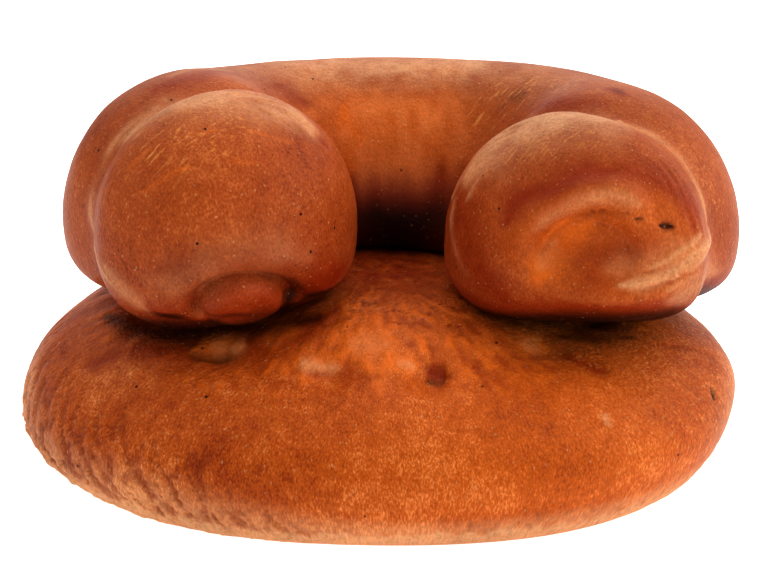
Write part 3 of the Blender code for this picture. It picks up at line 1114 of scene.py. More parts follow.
@dataclass
class HorseshoeRoll:
    """The fat roll bent into a horseshoe that lies on the bun. Sizes in mm.

    Five numbers are spread evenly from the left end to the right one. A pair of numbers is
    where something starts and where it is whole, but both ends and the back are places.
    """

    bun: RoundBun
    # Form.
    left_end: Pair = (-26.5, -18.0)
    right_end: Pair = (35.5, -19.0)
    back: Pair = (4.7, 30.5)
    left_toe_in: float = math.radians(34.0)
    right_toe_in: float = math.radians(36.0)
    arm_pull: float = 30.0
    back_pull: float = 32.0
    outer_widths: tuple[float, ...] = (24.3, 26.2, 22.7, 26.8, 24.3)
    inner_widths: tuple[float, ...] = (24.3, 21.0, 23.0, 21.5, 24.3)
    half_heights: tuple[float, ...] = (20.6, 20.0, 20.6, 22.2, 18.0)
    middles: tuple[float, ...] = (46.8, 46.8, 46.5, 43.9, 45.6)
    sags: tuple[float, ...] = (3.0, 10.0, 6.0, 11.0, 4.8)
    left_nose: float = 21.5
    right_nose: float = 19.5
    belly_power: float = 2.9
    touch_gap: float = 0.3
    touch_rounding: float = 1.0
    swelling: Layers = (Unevenness(23, 22.0, 0.35), Unevenness(23, 8.0, 0.12), Unevenness(23, 3.0, 0.04))
    # Last wrap behind both ends: its place, its width, and its depth or height.
    valley: Point = (6.5, 4.6, 2.9)
    swell: Point = (20.0, 9.0, 1.0)
    pressed_shares: Pair = (-0.95, -0.35)
    wrinkle_height: float = 0.09
    wrinkle_length: float = 1.9
    wrinkle_span: Pair = (15.0, 7.0)
    wrinkle_waves: Unevenness = Unevenness(54, 9.0, 1.2)
    wrinkle_places: Unevenness = Unevenness(55, 7.0)
    wrinkle_places_edge: Pair = (-0.2, 0.5)
    # Left end.
    nub: Oval = Oval(-21.6, 34.6, 7.2, 5.2)
    nub_height: float = 1.6
    nub_edge: Pair = (1.02, 0.55)
    nub_crease_depth: float = 2.0
    nub_crease_radius: float = 1.06
    nub_crease_width: float = 0.16
    nub_lip_height: float = 0.8
    nub_lip_radius: float = 1.75
    nub_lip_width: float = 0.40
    # Right end.
    face: Oval = Oval(37.5, 46.0, 15.5, 10.0)
    face_depth: float = 1.7
    face_edge: Pair = (1.10, 0.55)
    fold: Oval = Oval(34.2, 44.5, 9.4, 7.8)
    fold_depth: float = 2.8
    fold_edge: Pair = (1.02, 0.82)
    fold_lowest: float = 39.0
    lip: Oval = Oval(36.3, 42.0, 12.4, 11.8)
    lip_height: float = 2.0
    lip_width: float = 0.16
    lip_fade: Pair = (46.0, 40.0)
    corner: Oval = Oval(22.0, 31.0, 9.0, 6.0)
    corner_height: float = 3.0
    tuck: Oval = Oval(47.0, 29.0, 13.0, 6.0)
    tuck_depth: float = 1.2
    nose_fade: float = 0.25
    # Golden inside of the bend, brown lower down, partly painted shade, and painted shade dark at its
    # foot. Its streaks change the golden, the brown, the dark and the pale share.
    inner_side: Pair = (0.15, 0.75)
    inner_span: float = 0.42
    gold_rise: Pair = (38.0, 50.0)
    gold_top: Pair = (66.0, 58.0)
    inner_gold: float = 0.8
    inner_brown_and_shade: Pair = (50.0, 43.0)
    inner_shade_dark: Pair = (45.0, 38.0)
    inner_paleness: float = 0.15
    streaks: Unevenness = Unevenness(51, 2.2)
    streak_squeeze: float = 0.12
    streak_shares: tuple[float, float, float, float] = (0.35, 3.0, 1.5, 0.2)
    # Pale crest of painted sheen, browner nub and face, and painted shade under the roll.
    face_gold: float = 0.25
    face_gold_edge: Pair = (1.4, 0.8)
    crest_rise: Pair = (0.70, 1.0)
    crest_span: float = 0.55
    crest_sheen: float = 0.55
    crest_patches: Layers = (Unevenness(52, 5.0, 0.5), Unevenness(53, 1.6, 0.5))
    nub_brown: float = 0.6
    nub_brown_edge: Pair = (1.0, 0.8)
    under_span: Pair = (-50.0, -34.0)
    under_rise: Pair = (41.0, 35.0)
    under_shade_brown: float = 0.75
    under_shade_brown_turn: Pair = (0.15, 0.55)
    under_shade_dark: float = 0.95
    under_shade_dark_turn: Pair = (0.5, 0.85)
    round_cells: int = 84
    long_cells: int = 230
    end_crowding: float = 0.25
    finish: CrustFinish = CrustFinish(
        "roll_crust",
        dark=(0.29, 0.042, 0.006),
        middle=(0.42, 0.088, 0.015),
        light=(0.53, 0.150, 0.038),
        blister_share=0.65,
        fineness=3.0,
        mottle=0.3,
        depth=0.7,
    )

    ARM_POINTS = 200
    LINE_POINTS = 120
    STEP = 0.01

    def arm_curves(self) -> tuple[Array, Array]:
        """The centre line's two arms, each from its end to the back.

        Returns:
            The left and the right arm, as points.
        """
        arms = []
        for end, toe_in, side in (
            (self.left_end, self.left_toe_in, -1.0),
            (self.right_end, self.right_toe_in, 1.0),
        ):
            start = np.array(end)
            pull = self.arm_pull * np.array((side * math.sin(toe_in), math.cos(toe_in)))
            last = np.array(self.back)
            u = np.linspace(0.0, 1.0, self.ARM_POINTS)[:, None]
            points = (start, start + pull, last + (side * self.back_pull, 0.0), last)
            weights = ((1 - u) ** 3, 3 * u * (1 - u) ** 2, 3 * u**2 * (1 - u), u**3)
            arms.append(sum(weight * point for weight, point in zip(weights, points)))
        return arms[0], arms[1]

    @staticmethod
    def arm_reach(arm: Array) -> Array:
        """Distance along an arm's centre line from its end to each of its points."""
        steps = np.linalg.norm(np.diff(arm, axis=0), axis=1)
        return np.concatenate(([0.0], np.cumsum(steps)))

    def line(self, station: Array) -> Array:
        """Points of the centre line at stations from -1 (left end) to 1 (right end).

        Args:
            station: Places along the roll.

        Returns:
            A point for each, seen from above.
        """
        sides = []
        for arm in self.arm_curves():
            reach = self.arm_reach(arm)
            along = (1.0 - np.abs(station)) * reach[-1]
            sides.append(np.stack([np.interp(along, reach, arm[:, i]) for i in range(2)], axis=1))
        return np.where(station[:, None] < 0.0, *sides)

    def heading(self, station: Array) -> Array:
        """Unit direction of the centre line at each station, seen from above.

        Args:
            station: Places along the roll.

        Returns:
            A direction for each.
        """
        ahead = self.line(np.clip(station + self.STEP, -1.0, 1.0))
        behind = self.line(np.clip(station - self.STEP, -1.0, 1.0))
        return (ahead - behind) / np.linalg.norm(ahead - behind, axis=1, keepdims=True)

    @staticmethod
    def between_stations(station: Array, values: tuple[float, ...]) -> Array:
        """A smooth curve through five evenly spaced values along the roll.

        Args:
            station: Places along the roll.
            values: The five values.

        Returns:
            A value for each place.
        """
        place = (np.clip(station, -1.0, 1.0) + 1.0) * 2.0
        index = np.minimum(place.astype(int), 3)
        part = place - index
        padded = np.concatenate(([values[0]], values, [values[-1]]))
        before, start, end, after = (padded[index + offset] for offset in range(4))
        slope_start, slope_end, rise = 0.5 * (end - before), 0.5 * (after - start), end - start
        square = 3.0 * rise - 2.0 * slope_start - slope_end
        cube = slope_start + slope_end - 2.0 * rise
        return start + slope_start * part + square * part**2 + cube * part**3

    def grid(self, cube: Array) -> tuple[Array, Array]:
        """Split box corners into a station and a direction, the last cells into noses.

        Args:
            cube: The corners, on a box of half side 1.

        Returns:
            The station and the direction of each corner.
        """
        nose_cells = self.round_cells / 2
        cell = (cube[:, 0] + 1.0) / 2.0 * self.long_cells
        past_left = np.clip(1.0 - cell / nose_cells, 0.0, 1.0)
        past_right = np.clip(1.0 - (self.long_cells - cell) / nose_cells, 0.0, 1.0)
        straight = self.long_cells - 2.0 * nose_cells
        even = np.clip((cell - nose_cells) / straight, 0.0, 1.0) * 2.0 - 1.0
        station = (1.0 + self.end_crowding) * even - self.end_crowding * even**3
        nose = past_right - past_left
        direction = ball_directions(np.stack((nose, cube[:, 1], cube[:, 2]), axis=1))
        return station, direction

    def half_width(self, direction: Array, station: Array) -> Array:
        """Half width on the side of the bend that a direction points to.

        Args:
            direction: Directions out of the centre line.
            station: Places along the roll.

        Returns:
            A half width for each.
        """
        outer = self.between_stations(station, self.outer_widths)
        inner = self.between_stations(station, self.inner_widths)
        return np.where(direction[:, 1] > 0.0, outer, inner)

    def section(self, direction: Array, station: Array) -> tuple[Array, Array]:
        """Sideways and upward reach of the round section, fuller below than above.

        Args:
            direction: Directions out of the centre line.
            station: Places along the roll.

        Returns:
            The reach to the side and the reach up.
        """
        size = np.hypot(direction[:, 1], direction[:, 2])
        across = direction[:, 1] / np.maximum(size, ALMOST_NONE)
        upward = direction[:, 2] / np.maximum(size, ALMOST_NONE)
        power = np.where(upward > 0.0, 1.0, 2.0 / self.belly_power)
        half_height = self.between_stations(station, self.half_heights)
        sag = self.between_stations(station, self.sags)
        side = np.sign(across) * np.abs(across) ** power * self.half_width(direction, station)
        below = -(np.abs(upward) ** power) * (half_height - sag)
        rise = np.where(upward > 0.0, upward * (half_height + sag), below)
        return side * size, rise * size

    def ends(self, direction: Array) -> tuple[Array, Array]:
        """How far a direction points out of the left and out of the right end."""
        return tuple(smooth_step(side * direction[:, 0], 0.0, self.nose_fade) for side in (-1.0, 1.0))

    def behind_ends(self, station: Array, direction: Array) -> Array:
        """Distance along the roll behind the start of its nearer nose."""
        half_length = self.arm_reach(self.arm_curves()[0])[-1]
        return (1.0 - np.abs(station)) * half_length - self.left_nose * np.abs(direction[:, 0])

    def wrap_relief(self, station: Array, direction: Array) -> Array:
        """Height of the valley and the swell of the last wrap behind both fat ends.

        Args:
            station: Places along the roll.
            direction: Directions out of the centre line.

        Returns:
            A height for each.
        """
        behind = self.behind_ends(station, direction)
        valley_place, valley_width, valley_depth = self.valley
        swell_place, swell_width, swell_height = self.swell
        relief = swell_height * bell(behind - swell_place, swell_width)
        relief -= valley_depth * bell(behind - valley_place, valley_width)
        return relief * smooth_step(direction[:, 1], *self.pressed_shares)

    def wrinkles(self, points: Array, station: Array, direction: Array) -> Array:
        """Height of the fine wrinkles that run round both fat ends.

        Args:
            points: The skin's corners.
            station: Places along the roll.
            direction: Directions out of the centre line.

        Returns:
            A height for each.
        """
        behind = self.behind_ends(station, direction)
        wavy = behind + self.wrinkle_waves.at(points)
        waves = np.sin(2.0 * math.pi * wavy / self.wrinkle_length)
        some = smooth_step(self.wrinkle_places.at(points), *self.wrinkle_places_edge)
        ends = smooth_step(np.abs(behind), *self.wrinkle_span)
        return self.wrinkle_height * waves * some * ends

    def nub_relief(self, skin: Array) -> Array:
        """Height of the left end's nub, with the crease over its upper edge.

        Args:
            skin: The skin's corners.

        Returns:
            A height for each.
        """
        radius = self.nub.radius(skin)
        low = self.nub.z - self.nub.half_height / 2.0
        over = smooth_step(skin[:, 2], low, self.nub.z)
        lip = self.nub_lip_height * bell(radius - self.nub_lip_radius, self.nub_lip_width)
        crease = self.nub_crease_depth * bell(radius - self.nub_crease_radius, self.nub_crease_width)
        return self.nub_height * smooth_step(radius, *self.nub_edge) + (lip - crease) * over

    def face_relief(self, skin: Array) -> Array:
        """Height of the right end's sunken face, deepest under the fold across it.

        Args:
            skin: The skin's corners.

        Returns:
            A height for each.
        """
        face = self.face.radius(skin)
        fold = self.fold.radius(skin)
        top = self.fold_lowest + self.fold.half_height
        under_fold = smooth_step(skin[:, 2], self.fold_lowest, top)
        sunken = self.face_depth * smooth_step(face, *self.face_edge)
        hollow = self.fold_depth * smooth_step(fold, *self.fold_edge)
        ridge = self.lip.radius(skin)
        lip = self.lip_height * bell(ridge - 1.0, self.lip_width)
        lip *= smooth_step(skin[:, 0], *self.lip_fade)
        corner = self.corner.radius(skin)
        tuck = self.tuck.radius(skin)
        soft = self.corner_height * bell(corner, 1.0) - self.tuck_depth * bell(tuck, 1.0)
        return (lip - hollow) * under_fold - sunken + soft

    def relief(self, skin: Array, station: Array, direction: Array) -> Array:
        """Height of all the relief over the plain skin.

        Args:
            skin: The skin's corners.
            station: Places along the roll.
            direction: Directions out of the centre line.

        Returns:
            A height for each.
        """
        left_end, right_end = self.ends(direction)
        total = self.wrap_relief(station, direction)
        return total + self.nub_relief(skin) * left_end + self.face_relief(skin) * right_end

    @staticmethod
    def in_bend(along: Array, ahead: Array, sideways: Array, upward: Array) -> Array:
        """Turn lengths ahead, sideways and up into points, along the bend's heading.

        Args:
            along: The bend's heading.
            ahead, sideways, upward: The lengths.

        Returns:
            A point for each.
        """
        x = along[:, 0] * ahead - along[:, 1] * sideways
        y = along[:, 1] * ahead + along[:, 0] * sideways
        return np.stack((x, y, upward), axis=1)

    def skin(self, station: Array, direction: Array) -> Array:
        """The roll's skin with its main relief.

        Args:
            station: Places along the roll.
            direction: Directions out of the centre line.

        Returns:
            The corners on the skin.
        """
        along = self.heading(station)
        nose = np.where(station < 0.0, self.left_nose, self.right_nose)
        side, rise = self.section(direction, station)
        middles = self.between_stations(station, self.middles)
        middle = middles - self.between_stations(station, self.sags)
        skin = self.in_bend(along, nose * direction[:, 0], side, middle + rise)
        skin[:, :2] += self.line(station)
        slope_side = side / self.half_width(direction, station) ** 2
        slope_rise = rise / self.between_stations(station, self.half_heights) ** 2
        outward = self.in_bend(along, direction[:, 0] / nose, slope_side, slope_rise)
        outward /= np.linalg.norm(outward, axis=1, keepdims=True)
        return skin + outward * self.relief(skin, station, direction)[:, None]

    def lifted(self, skin: Array) -> Array:
        """The skin pressed up by the bun under it.

        Args:
            skin: The skin's corners.

        Returns:
            The corners, clear of the bun.
        """
        bed = self.bun.top(skin[:, 0], skin[:, 1]) + self.touch_gap
        lifted = rounded_max(skin[:, 2], bed, self.touch_rounding)
        return np.stack((skin[:, 0], skin[:, 1], lifted), axis=1)

    def away(self, places: Array) -> Array:
        """Distance from some places to the roll's middle line, seen from above.

        Args:
            places: Points, in millimetres.

        Returns:
            A distance for each.
        """
        distance = np.full(len(places), np.inf)
        for point in self.line(np.linspace(-1.0, 1.0, self.LINE_POINTS)):
            distance = np.minimum(distance, np.hypot(*(places[:, :2] - point).T))
        return distance

    def browning(self, skin: Skin, station: Array, direction: Array) -> None:
        """Paint where the crust browned more or less as it rose in the oven, with painted shade inside the
        bend and under the ends and painted sheen along the crest.

        Args:
            skin: The roll's skin.
            station: Places along the roll.
            direction: Directions out of the centre line.
        """
        x, _, z = skin.points.T
        streaks = self.streaks.at(skin.points * (1.0, 1.0, self.streak_squeeze))
        inner = smooth_step(-direction[:, 1], *self.inner_side) * bell(station, self.inner_span)
        gold = smooth_step(z, *self.gold_rise) * smooth_step(z, *self.gold_top)
        golden, brown, dark, pale = (share * streaks for share in self.streak_shares)
        skin.paint(Mask.GOLDEN, inner * gold * (self.inner_gold + golden))
        # Painted shade on the inner wall of the bend: browner lower down, near black at its foot.
        skin.paint(Mask.BAKED, inner * smooth_step(z + brown, *self.inner_brown_and_shade))
        skin.paint(Mask.CREASE, inner * smooth_step(z + dark, *self.inner_shade_dark))
        skin.paint(Mask.PALE, inner * gold * (self.inner_paleness + pale))
        face = self.face.radius(skin.points)
        left_end, right_end = self.ends(direction)
        face_gold = self.face_gold * right_end * smooth_step(face, *self.face_gold_edge)
        skin.paint(Mask.GOLDEN, face_gold)
        # Painted sheen along the crest, in pale patches.
        patches = all_at(self.crest_patches, skin.points)
        crest = smooth_step(direction[:, 2], *self.crest_rise) * bell(station, self.crest_span)
        skin.paint(Mask.PALE, self.crest_sheen * crest * (1.0 + patches))
        nub = self.nub.radius(skin.points)
        skin.paint(Mask.BAKED, self.nub_brown * left_end * smooth_step(nub, *self.nub_brown_edge))
        # Painted shade on the ends' undersides that face down: browner, then near black.
        facing_down = -corner_normals(skin.points, skin.quads)[:, 2]
        shade = smooth_step(x, *self.under_span) * smooth_step(z, *self.under_rise)
        brown = self.under_shade_brown * shade * smooth_step(facing_down, *self.under_shade_brown_turn)
        skin.paint(Mask.BAKED, brown)
        dark = self.under_shade_dark * shade * smooth_step(facing_down, *self.under_shade_dark_turn)
        skin.paint(Mask.CREASE, dark)

    def build(self, groups: Groups) -> bpy.types.Object:
        """Make the roll's piece.

        Args:
            groups: The node groups of the crust's grain and tone.

        Returns:
            The object.
        """
        cube, quads = box_grid((self.long_cells, self.round_cells, self.round_cells))
        station, direction = self.grid(cube)
        skin = Skin(self.skin(station, direction), quads)
        swelling = all_at(self.swelling, skin.points)
        skin.raise_by(swelling + self.wrinkles(skin.points, station, direction))
        self.browning(skin, station, direction)
        skin.put(ROLL_MARKS)
        skin.points = self.lifted(skin.points)
        piece = make_piece("roll_crust", skin, self.finish.material(*groups))
        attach(piece, BODY)
        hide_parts("horseshoe_roll")
        return piece


# Marks of both crusts -------------------------------------------------------------

LEFT_SHADE = (
    (-50, -15, 24.7), (-39.5, -27, 25.7), (-30, -27.5, 26.2), (-19.7, -29.5, 27.3),
    (-9.7, -26, 28.7),
)
RIGHT_BAND = ((20, -26, 28), (31, -33, 25.5), (42, -33, 24), (52, -27, 22.5))

BUN_MARKS = (
    # Painted shade along the roll's ends, browner painted shade before the left one, and golden and browner
    # crust before the right one.
    Mark(LEFT_SHADE, 2.0, Mask.CREASE, 0.8),
    Mark(((-41, -31, 24.5), (-31, -33, 25.5), (-15, -33.5, 27), (-7, -24, 29)), 3.6, Mask.BAKED, 0.85),
    Mark(((20.6, -21.7, 28.5), (30.5, -27.5, 26), (42.8, -27.5, 24.5), (52, -21, 23)), 1.5, Mask.CREASE, 0.3),
    Mark(RIGHT_BAND, 3.4, Mask.GOLDEN, 0.6),
    Mark(RIGHT_BAND, 3.2, Mask.BAKED, 0.3),
    Mark(((22, -27, 27.5), (31, -33, 25.5), (42, -33, 24), (54, -27, 22)), 3.2, Mask.STRETCHED, 0.7),
    # First poke on the left: a reddish bump, paler on its right, with a crease of painted shade before it.
    Mark(((-30.5, -33, 24.5), (-26, -31.6, 25), (-21.5, -33.3, 25)), 1.8, Mask.GOLDEN, 1.0, 0.7),
    Mark(((-31, -33.2, 24.5), (-27, -32, 25), (-24, -32.8, 25)), 1.6, Mask.BAKED, 0.3),
    Mark(((-28, -32.5, 25), (-25, -32.3, 25)), 1.2, Mask.PALE, 0.25),
    Mark(((-24, -32.8, 25), (-21.5, -33.3, 25)), 1.0, Mask.PALE, 0.5),
    Mark(((-19, -33, 26.2), (-13, -30.5, 27.4)), 1.6, Mask.GOLDEN, 0.7),
    Mark(((-31.4, -35.3, 24.5), (-25.6, -34, 23.5), (-20.3, -35.1, 25.5)), 0.8, Mask.CREASE, 0.6, -0.7),
    # Second: a flat pale spot with painted shade under its edge, beside a brown one.
    Mark(((-13, -38, 25.3), (-5, -37.8, 25.3)), 2.0, Mask.GOLDEN, 0.7),
    Mark(((-12.6, -40, 25), (-10.5, -39.2, 25.1), (-9.5, -39.9, 24.9)), 0.9, Mask.PALE, 0.75, 0.4),
    Mark(((-10, -39.6, 25), (-6.2, -39.9, 24.9)), 0.8, Mask.PALE, 0.5, 0.3),
    Mark(((-12.3, -41.3, 24.5), (-9, -41.3, 24.4), (-5.5, -41.3, 24.4)), 0.5, Mask.BAKED, 0.6, -0.3),
    Mark(((-5.4, -39, 25), (-2, -40.1, 25)), 1.2, Mask.BAKED, 0.45, -0.4),
    # Third: a red-brown pit, partly painted shade, with painted shade along its lip and a golden side.
    Mark(((8.7, -39.4, 24.5), (11.4, -40.4, 24)), 1.3, Mask.BAKED, 1.0, -1.0),
    Mark(((8.2, -41, 23.3), (10.4, -41.7, 23), (12.5, -40.4, 24.3)), 0.5, Mask.CREASE, 0.7, -0.3),
    Mark(((1.3, -39.5, 25.6), (7.2, -39.5, 24.8)), 1.8, Mask.GOLDEN, 0.9, 0.3),
    Mark(((3, -39.8, 25.4), (6.8, -40.2, 24.7)), 0.6, Mask.PALE, 0.6),
    # Fourth: a golden tuft behind a dull edge of painted shade.
    Mark(((24.5, -31.8, 25.4), (29.5, -31.2, 24.8)), 2.4, Mask.GOLDEN, 1.0, 0.5),
    Mark(((25, -31.5, 25.5), (28.5, -32, 24.9)), 1.2, Mask.PALE, 0.3),
    Mark(((25.9, -36.0, 24.5), (29.1, -35.1, 24)), 0.9, Mask.BAKED, 0.55, -0.3),
    Mark(((31, -33, 25), (34.4, -36, 24.4), (38.5, -38, 23.5)), 1.3, Mask.BAKED, 0.75, -0.2),
    Mark(((20, -35, 25.8), (12, -34, 27)), 2.0, Mask.GOLDEN, 0.4),
    # The bright crust between the second and third pokes.
    Mark(((-5, -34, 27.5), (3, -35, 27.5)), 4.5, Mask.GOLDEN, 0.8),
    Mark(((-4, -35, 27.3), (2, -36, 27)), 2.0, Mask.PALE, 0.2),
    # Scars and blots on the shoulders, with painted shade in the notch and the slit.
    Mark(((39.2, -25.4, 24.9), (45.9, -23.5, 24.2)), 0.8, Mask.CREASE, 0.6, -0.4),
    Mark(((50, -25, 23), (56, -22.5, 21.8), (61, -22, 19.5)), 0.5, Mask.BAKED, 0.6, -0.3),
    Mark(((50, -29, 22), (56, -28, 20.3), (61, -25.5, 18.4)), 0.5, Mask.BAKED, 0.5, -0.25),
    Mark(((58.2, -32.5, 18.1), (58.4, -34.5, 16.8)), 0.6, Mask.CREASE, 1.0, -0.5),
    Mark(((36.6, -47.5, 20.2), (37.6, -49.5, 18.7)), 0.4, Mask.PALE, 0.8, 0.1),
    Mark(((-50.4, -30.3, 21.4), (-43.8, -30.9, 23.9)), 1.2, Mask.BAKED, 0.7, -0.2),
    Mark(((-59.3, -29.3, 15), (-56.1, -31, 17.4)), 1.0, Mask.BAKED, 0.6, -0.2),
    # Small tears low on the left, and a stain in front.
    Mark(((-35.8, -52.5, 10.7), (-34.1, -52.7, 6.1), (-30.4, -52.9, 3.5)), 0.6, Mask.BAKED, 0.8, -0.3),
    Mark(((-46, -46.2, 12.1), (-42.9, -48.8, 8.7)), 0.6, Mask.BAKED, 0.7, -0.3),
    Mark(((-52.2, -40.6, 12.9), (-48.2, -45.1, 8.5)), 0.6, Mask.BAKED, 0.7, -0.3),
    Mark(((-29.4, -55, 7.8), (-25.7, -55.2, 4.9)), 0.5, Mask.BAKED, 0.7, -0.2),
    Mark(((-14, -58.1, 6.4), (-7.4, -57.7, 4)), 0.8, Mask.BAKED, 0.6),
)

LEFT_WRAP_EDGE = ((-37, -13, 64.5), (-45, -17, 59), (-51, -19.5, 45), (-46.5, -31, 41), (-42.8, -35, 37))
LEFT_UPPER_RIM = ((-43, -19, 58.7), (-36, -20, 64.6), (-28, -24, 66.5), (-18, -21, 65.2), (-11, -20, 60.6))
NUB_CREASE = ((-29, -40.5, 37), (-26.5, -40.5, 40), (-21, -39.5, 41), (-15.6, -34, 38.5), (-14, -31, 34))
OVER_NUB = ((-34.9, -39.5, 41.5), (-21.7, -39.9, 44.5), (-10.8, -32.9, 40.1))
UNDER_NUB = ((-27.8, -38, 33.6), (-24.4, -39, 33.4), (-21.4, -36.9, 32.4), (-17.8, -34.3, 31.8))
LEFT_VALLEY_SHADE = (
    (-39.7, -9.8, 65.8), (-30.4, -2.6, 68), (-26.8, 10.9, 66.4), (-18.3, 13.6, 63.3),
    (-14, 12.3, 60),
)
RIGHT_WRAP_EDGE = (
    (14, -15, 47), (17, -14.5, 53), (22, -15.6, 59), (28.4, -18, 62.4), (35, -17, 63.2),
    (43, -14.7, 61.1),
)
OUTER_WRAP_EDGE = (
    (42, -14.7, 61.4), (49.2, -17, 58.5), (54.5, -20, 53), (57, -24, 46.8), (55, -33, 42.9),
    (48, -38.5, 39.6),
)
FACE_SIDE = ((14.6, -17, 48), (13.6, -18.6, 42.8), (15.2, -23, 38.2), (18.2, -26, 34.3))
RIGHT_UPPER_RIM = ((16, -18, 52), (22, -17.5, 58.5), (28.4, -20, 62), (35, -21.5, 63), (44, -19, 60.5))
MAROON_GROOVE = (
    (21.2, -31.4, 47.2), (23.8, -31.2, 52), (28.6, -34.3, 53.8), (32.7, -34.2, 56.1),
    (39, -34.3, 57),
)
OUTER_GROOVE = ((37, -34.3, 57), (45.6, -34.1, 55.4), (52.2, -33.1, 50.4), (52, -34.8, 47.5))
RAISED_LIP = ((26, -34.1, 47), (28.7, -34.6, 48.9), (32.8, -36.3, 52), (36.6, -37.1, 53.9), (42, -37.5, 52))
FOLD_CREASE = ((27, -34, 43), (28.5, -33.4, 45.5), (30.4, -33.3, 47.2), (34, -34.6, 49.6), (40, -37, 50.5))
PALE_RIDGE = (
    (39.5, -39.2, 38.8), (45.4, -38.9, 39.4), (49.9, -37.4, 41.8), (54.1, -33.9, 43.9),
    (57.3, -24.7, 43.6),
)
OUTER_FOOT = ((48.3, -38.1, 35.3), (51.2, -36.8, 36.6), (54.9, -32.7, 37.4), (61, -19.8, 34.7))

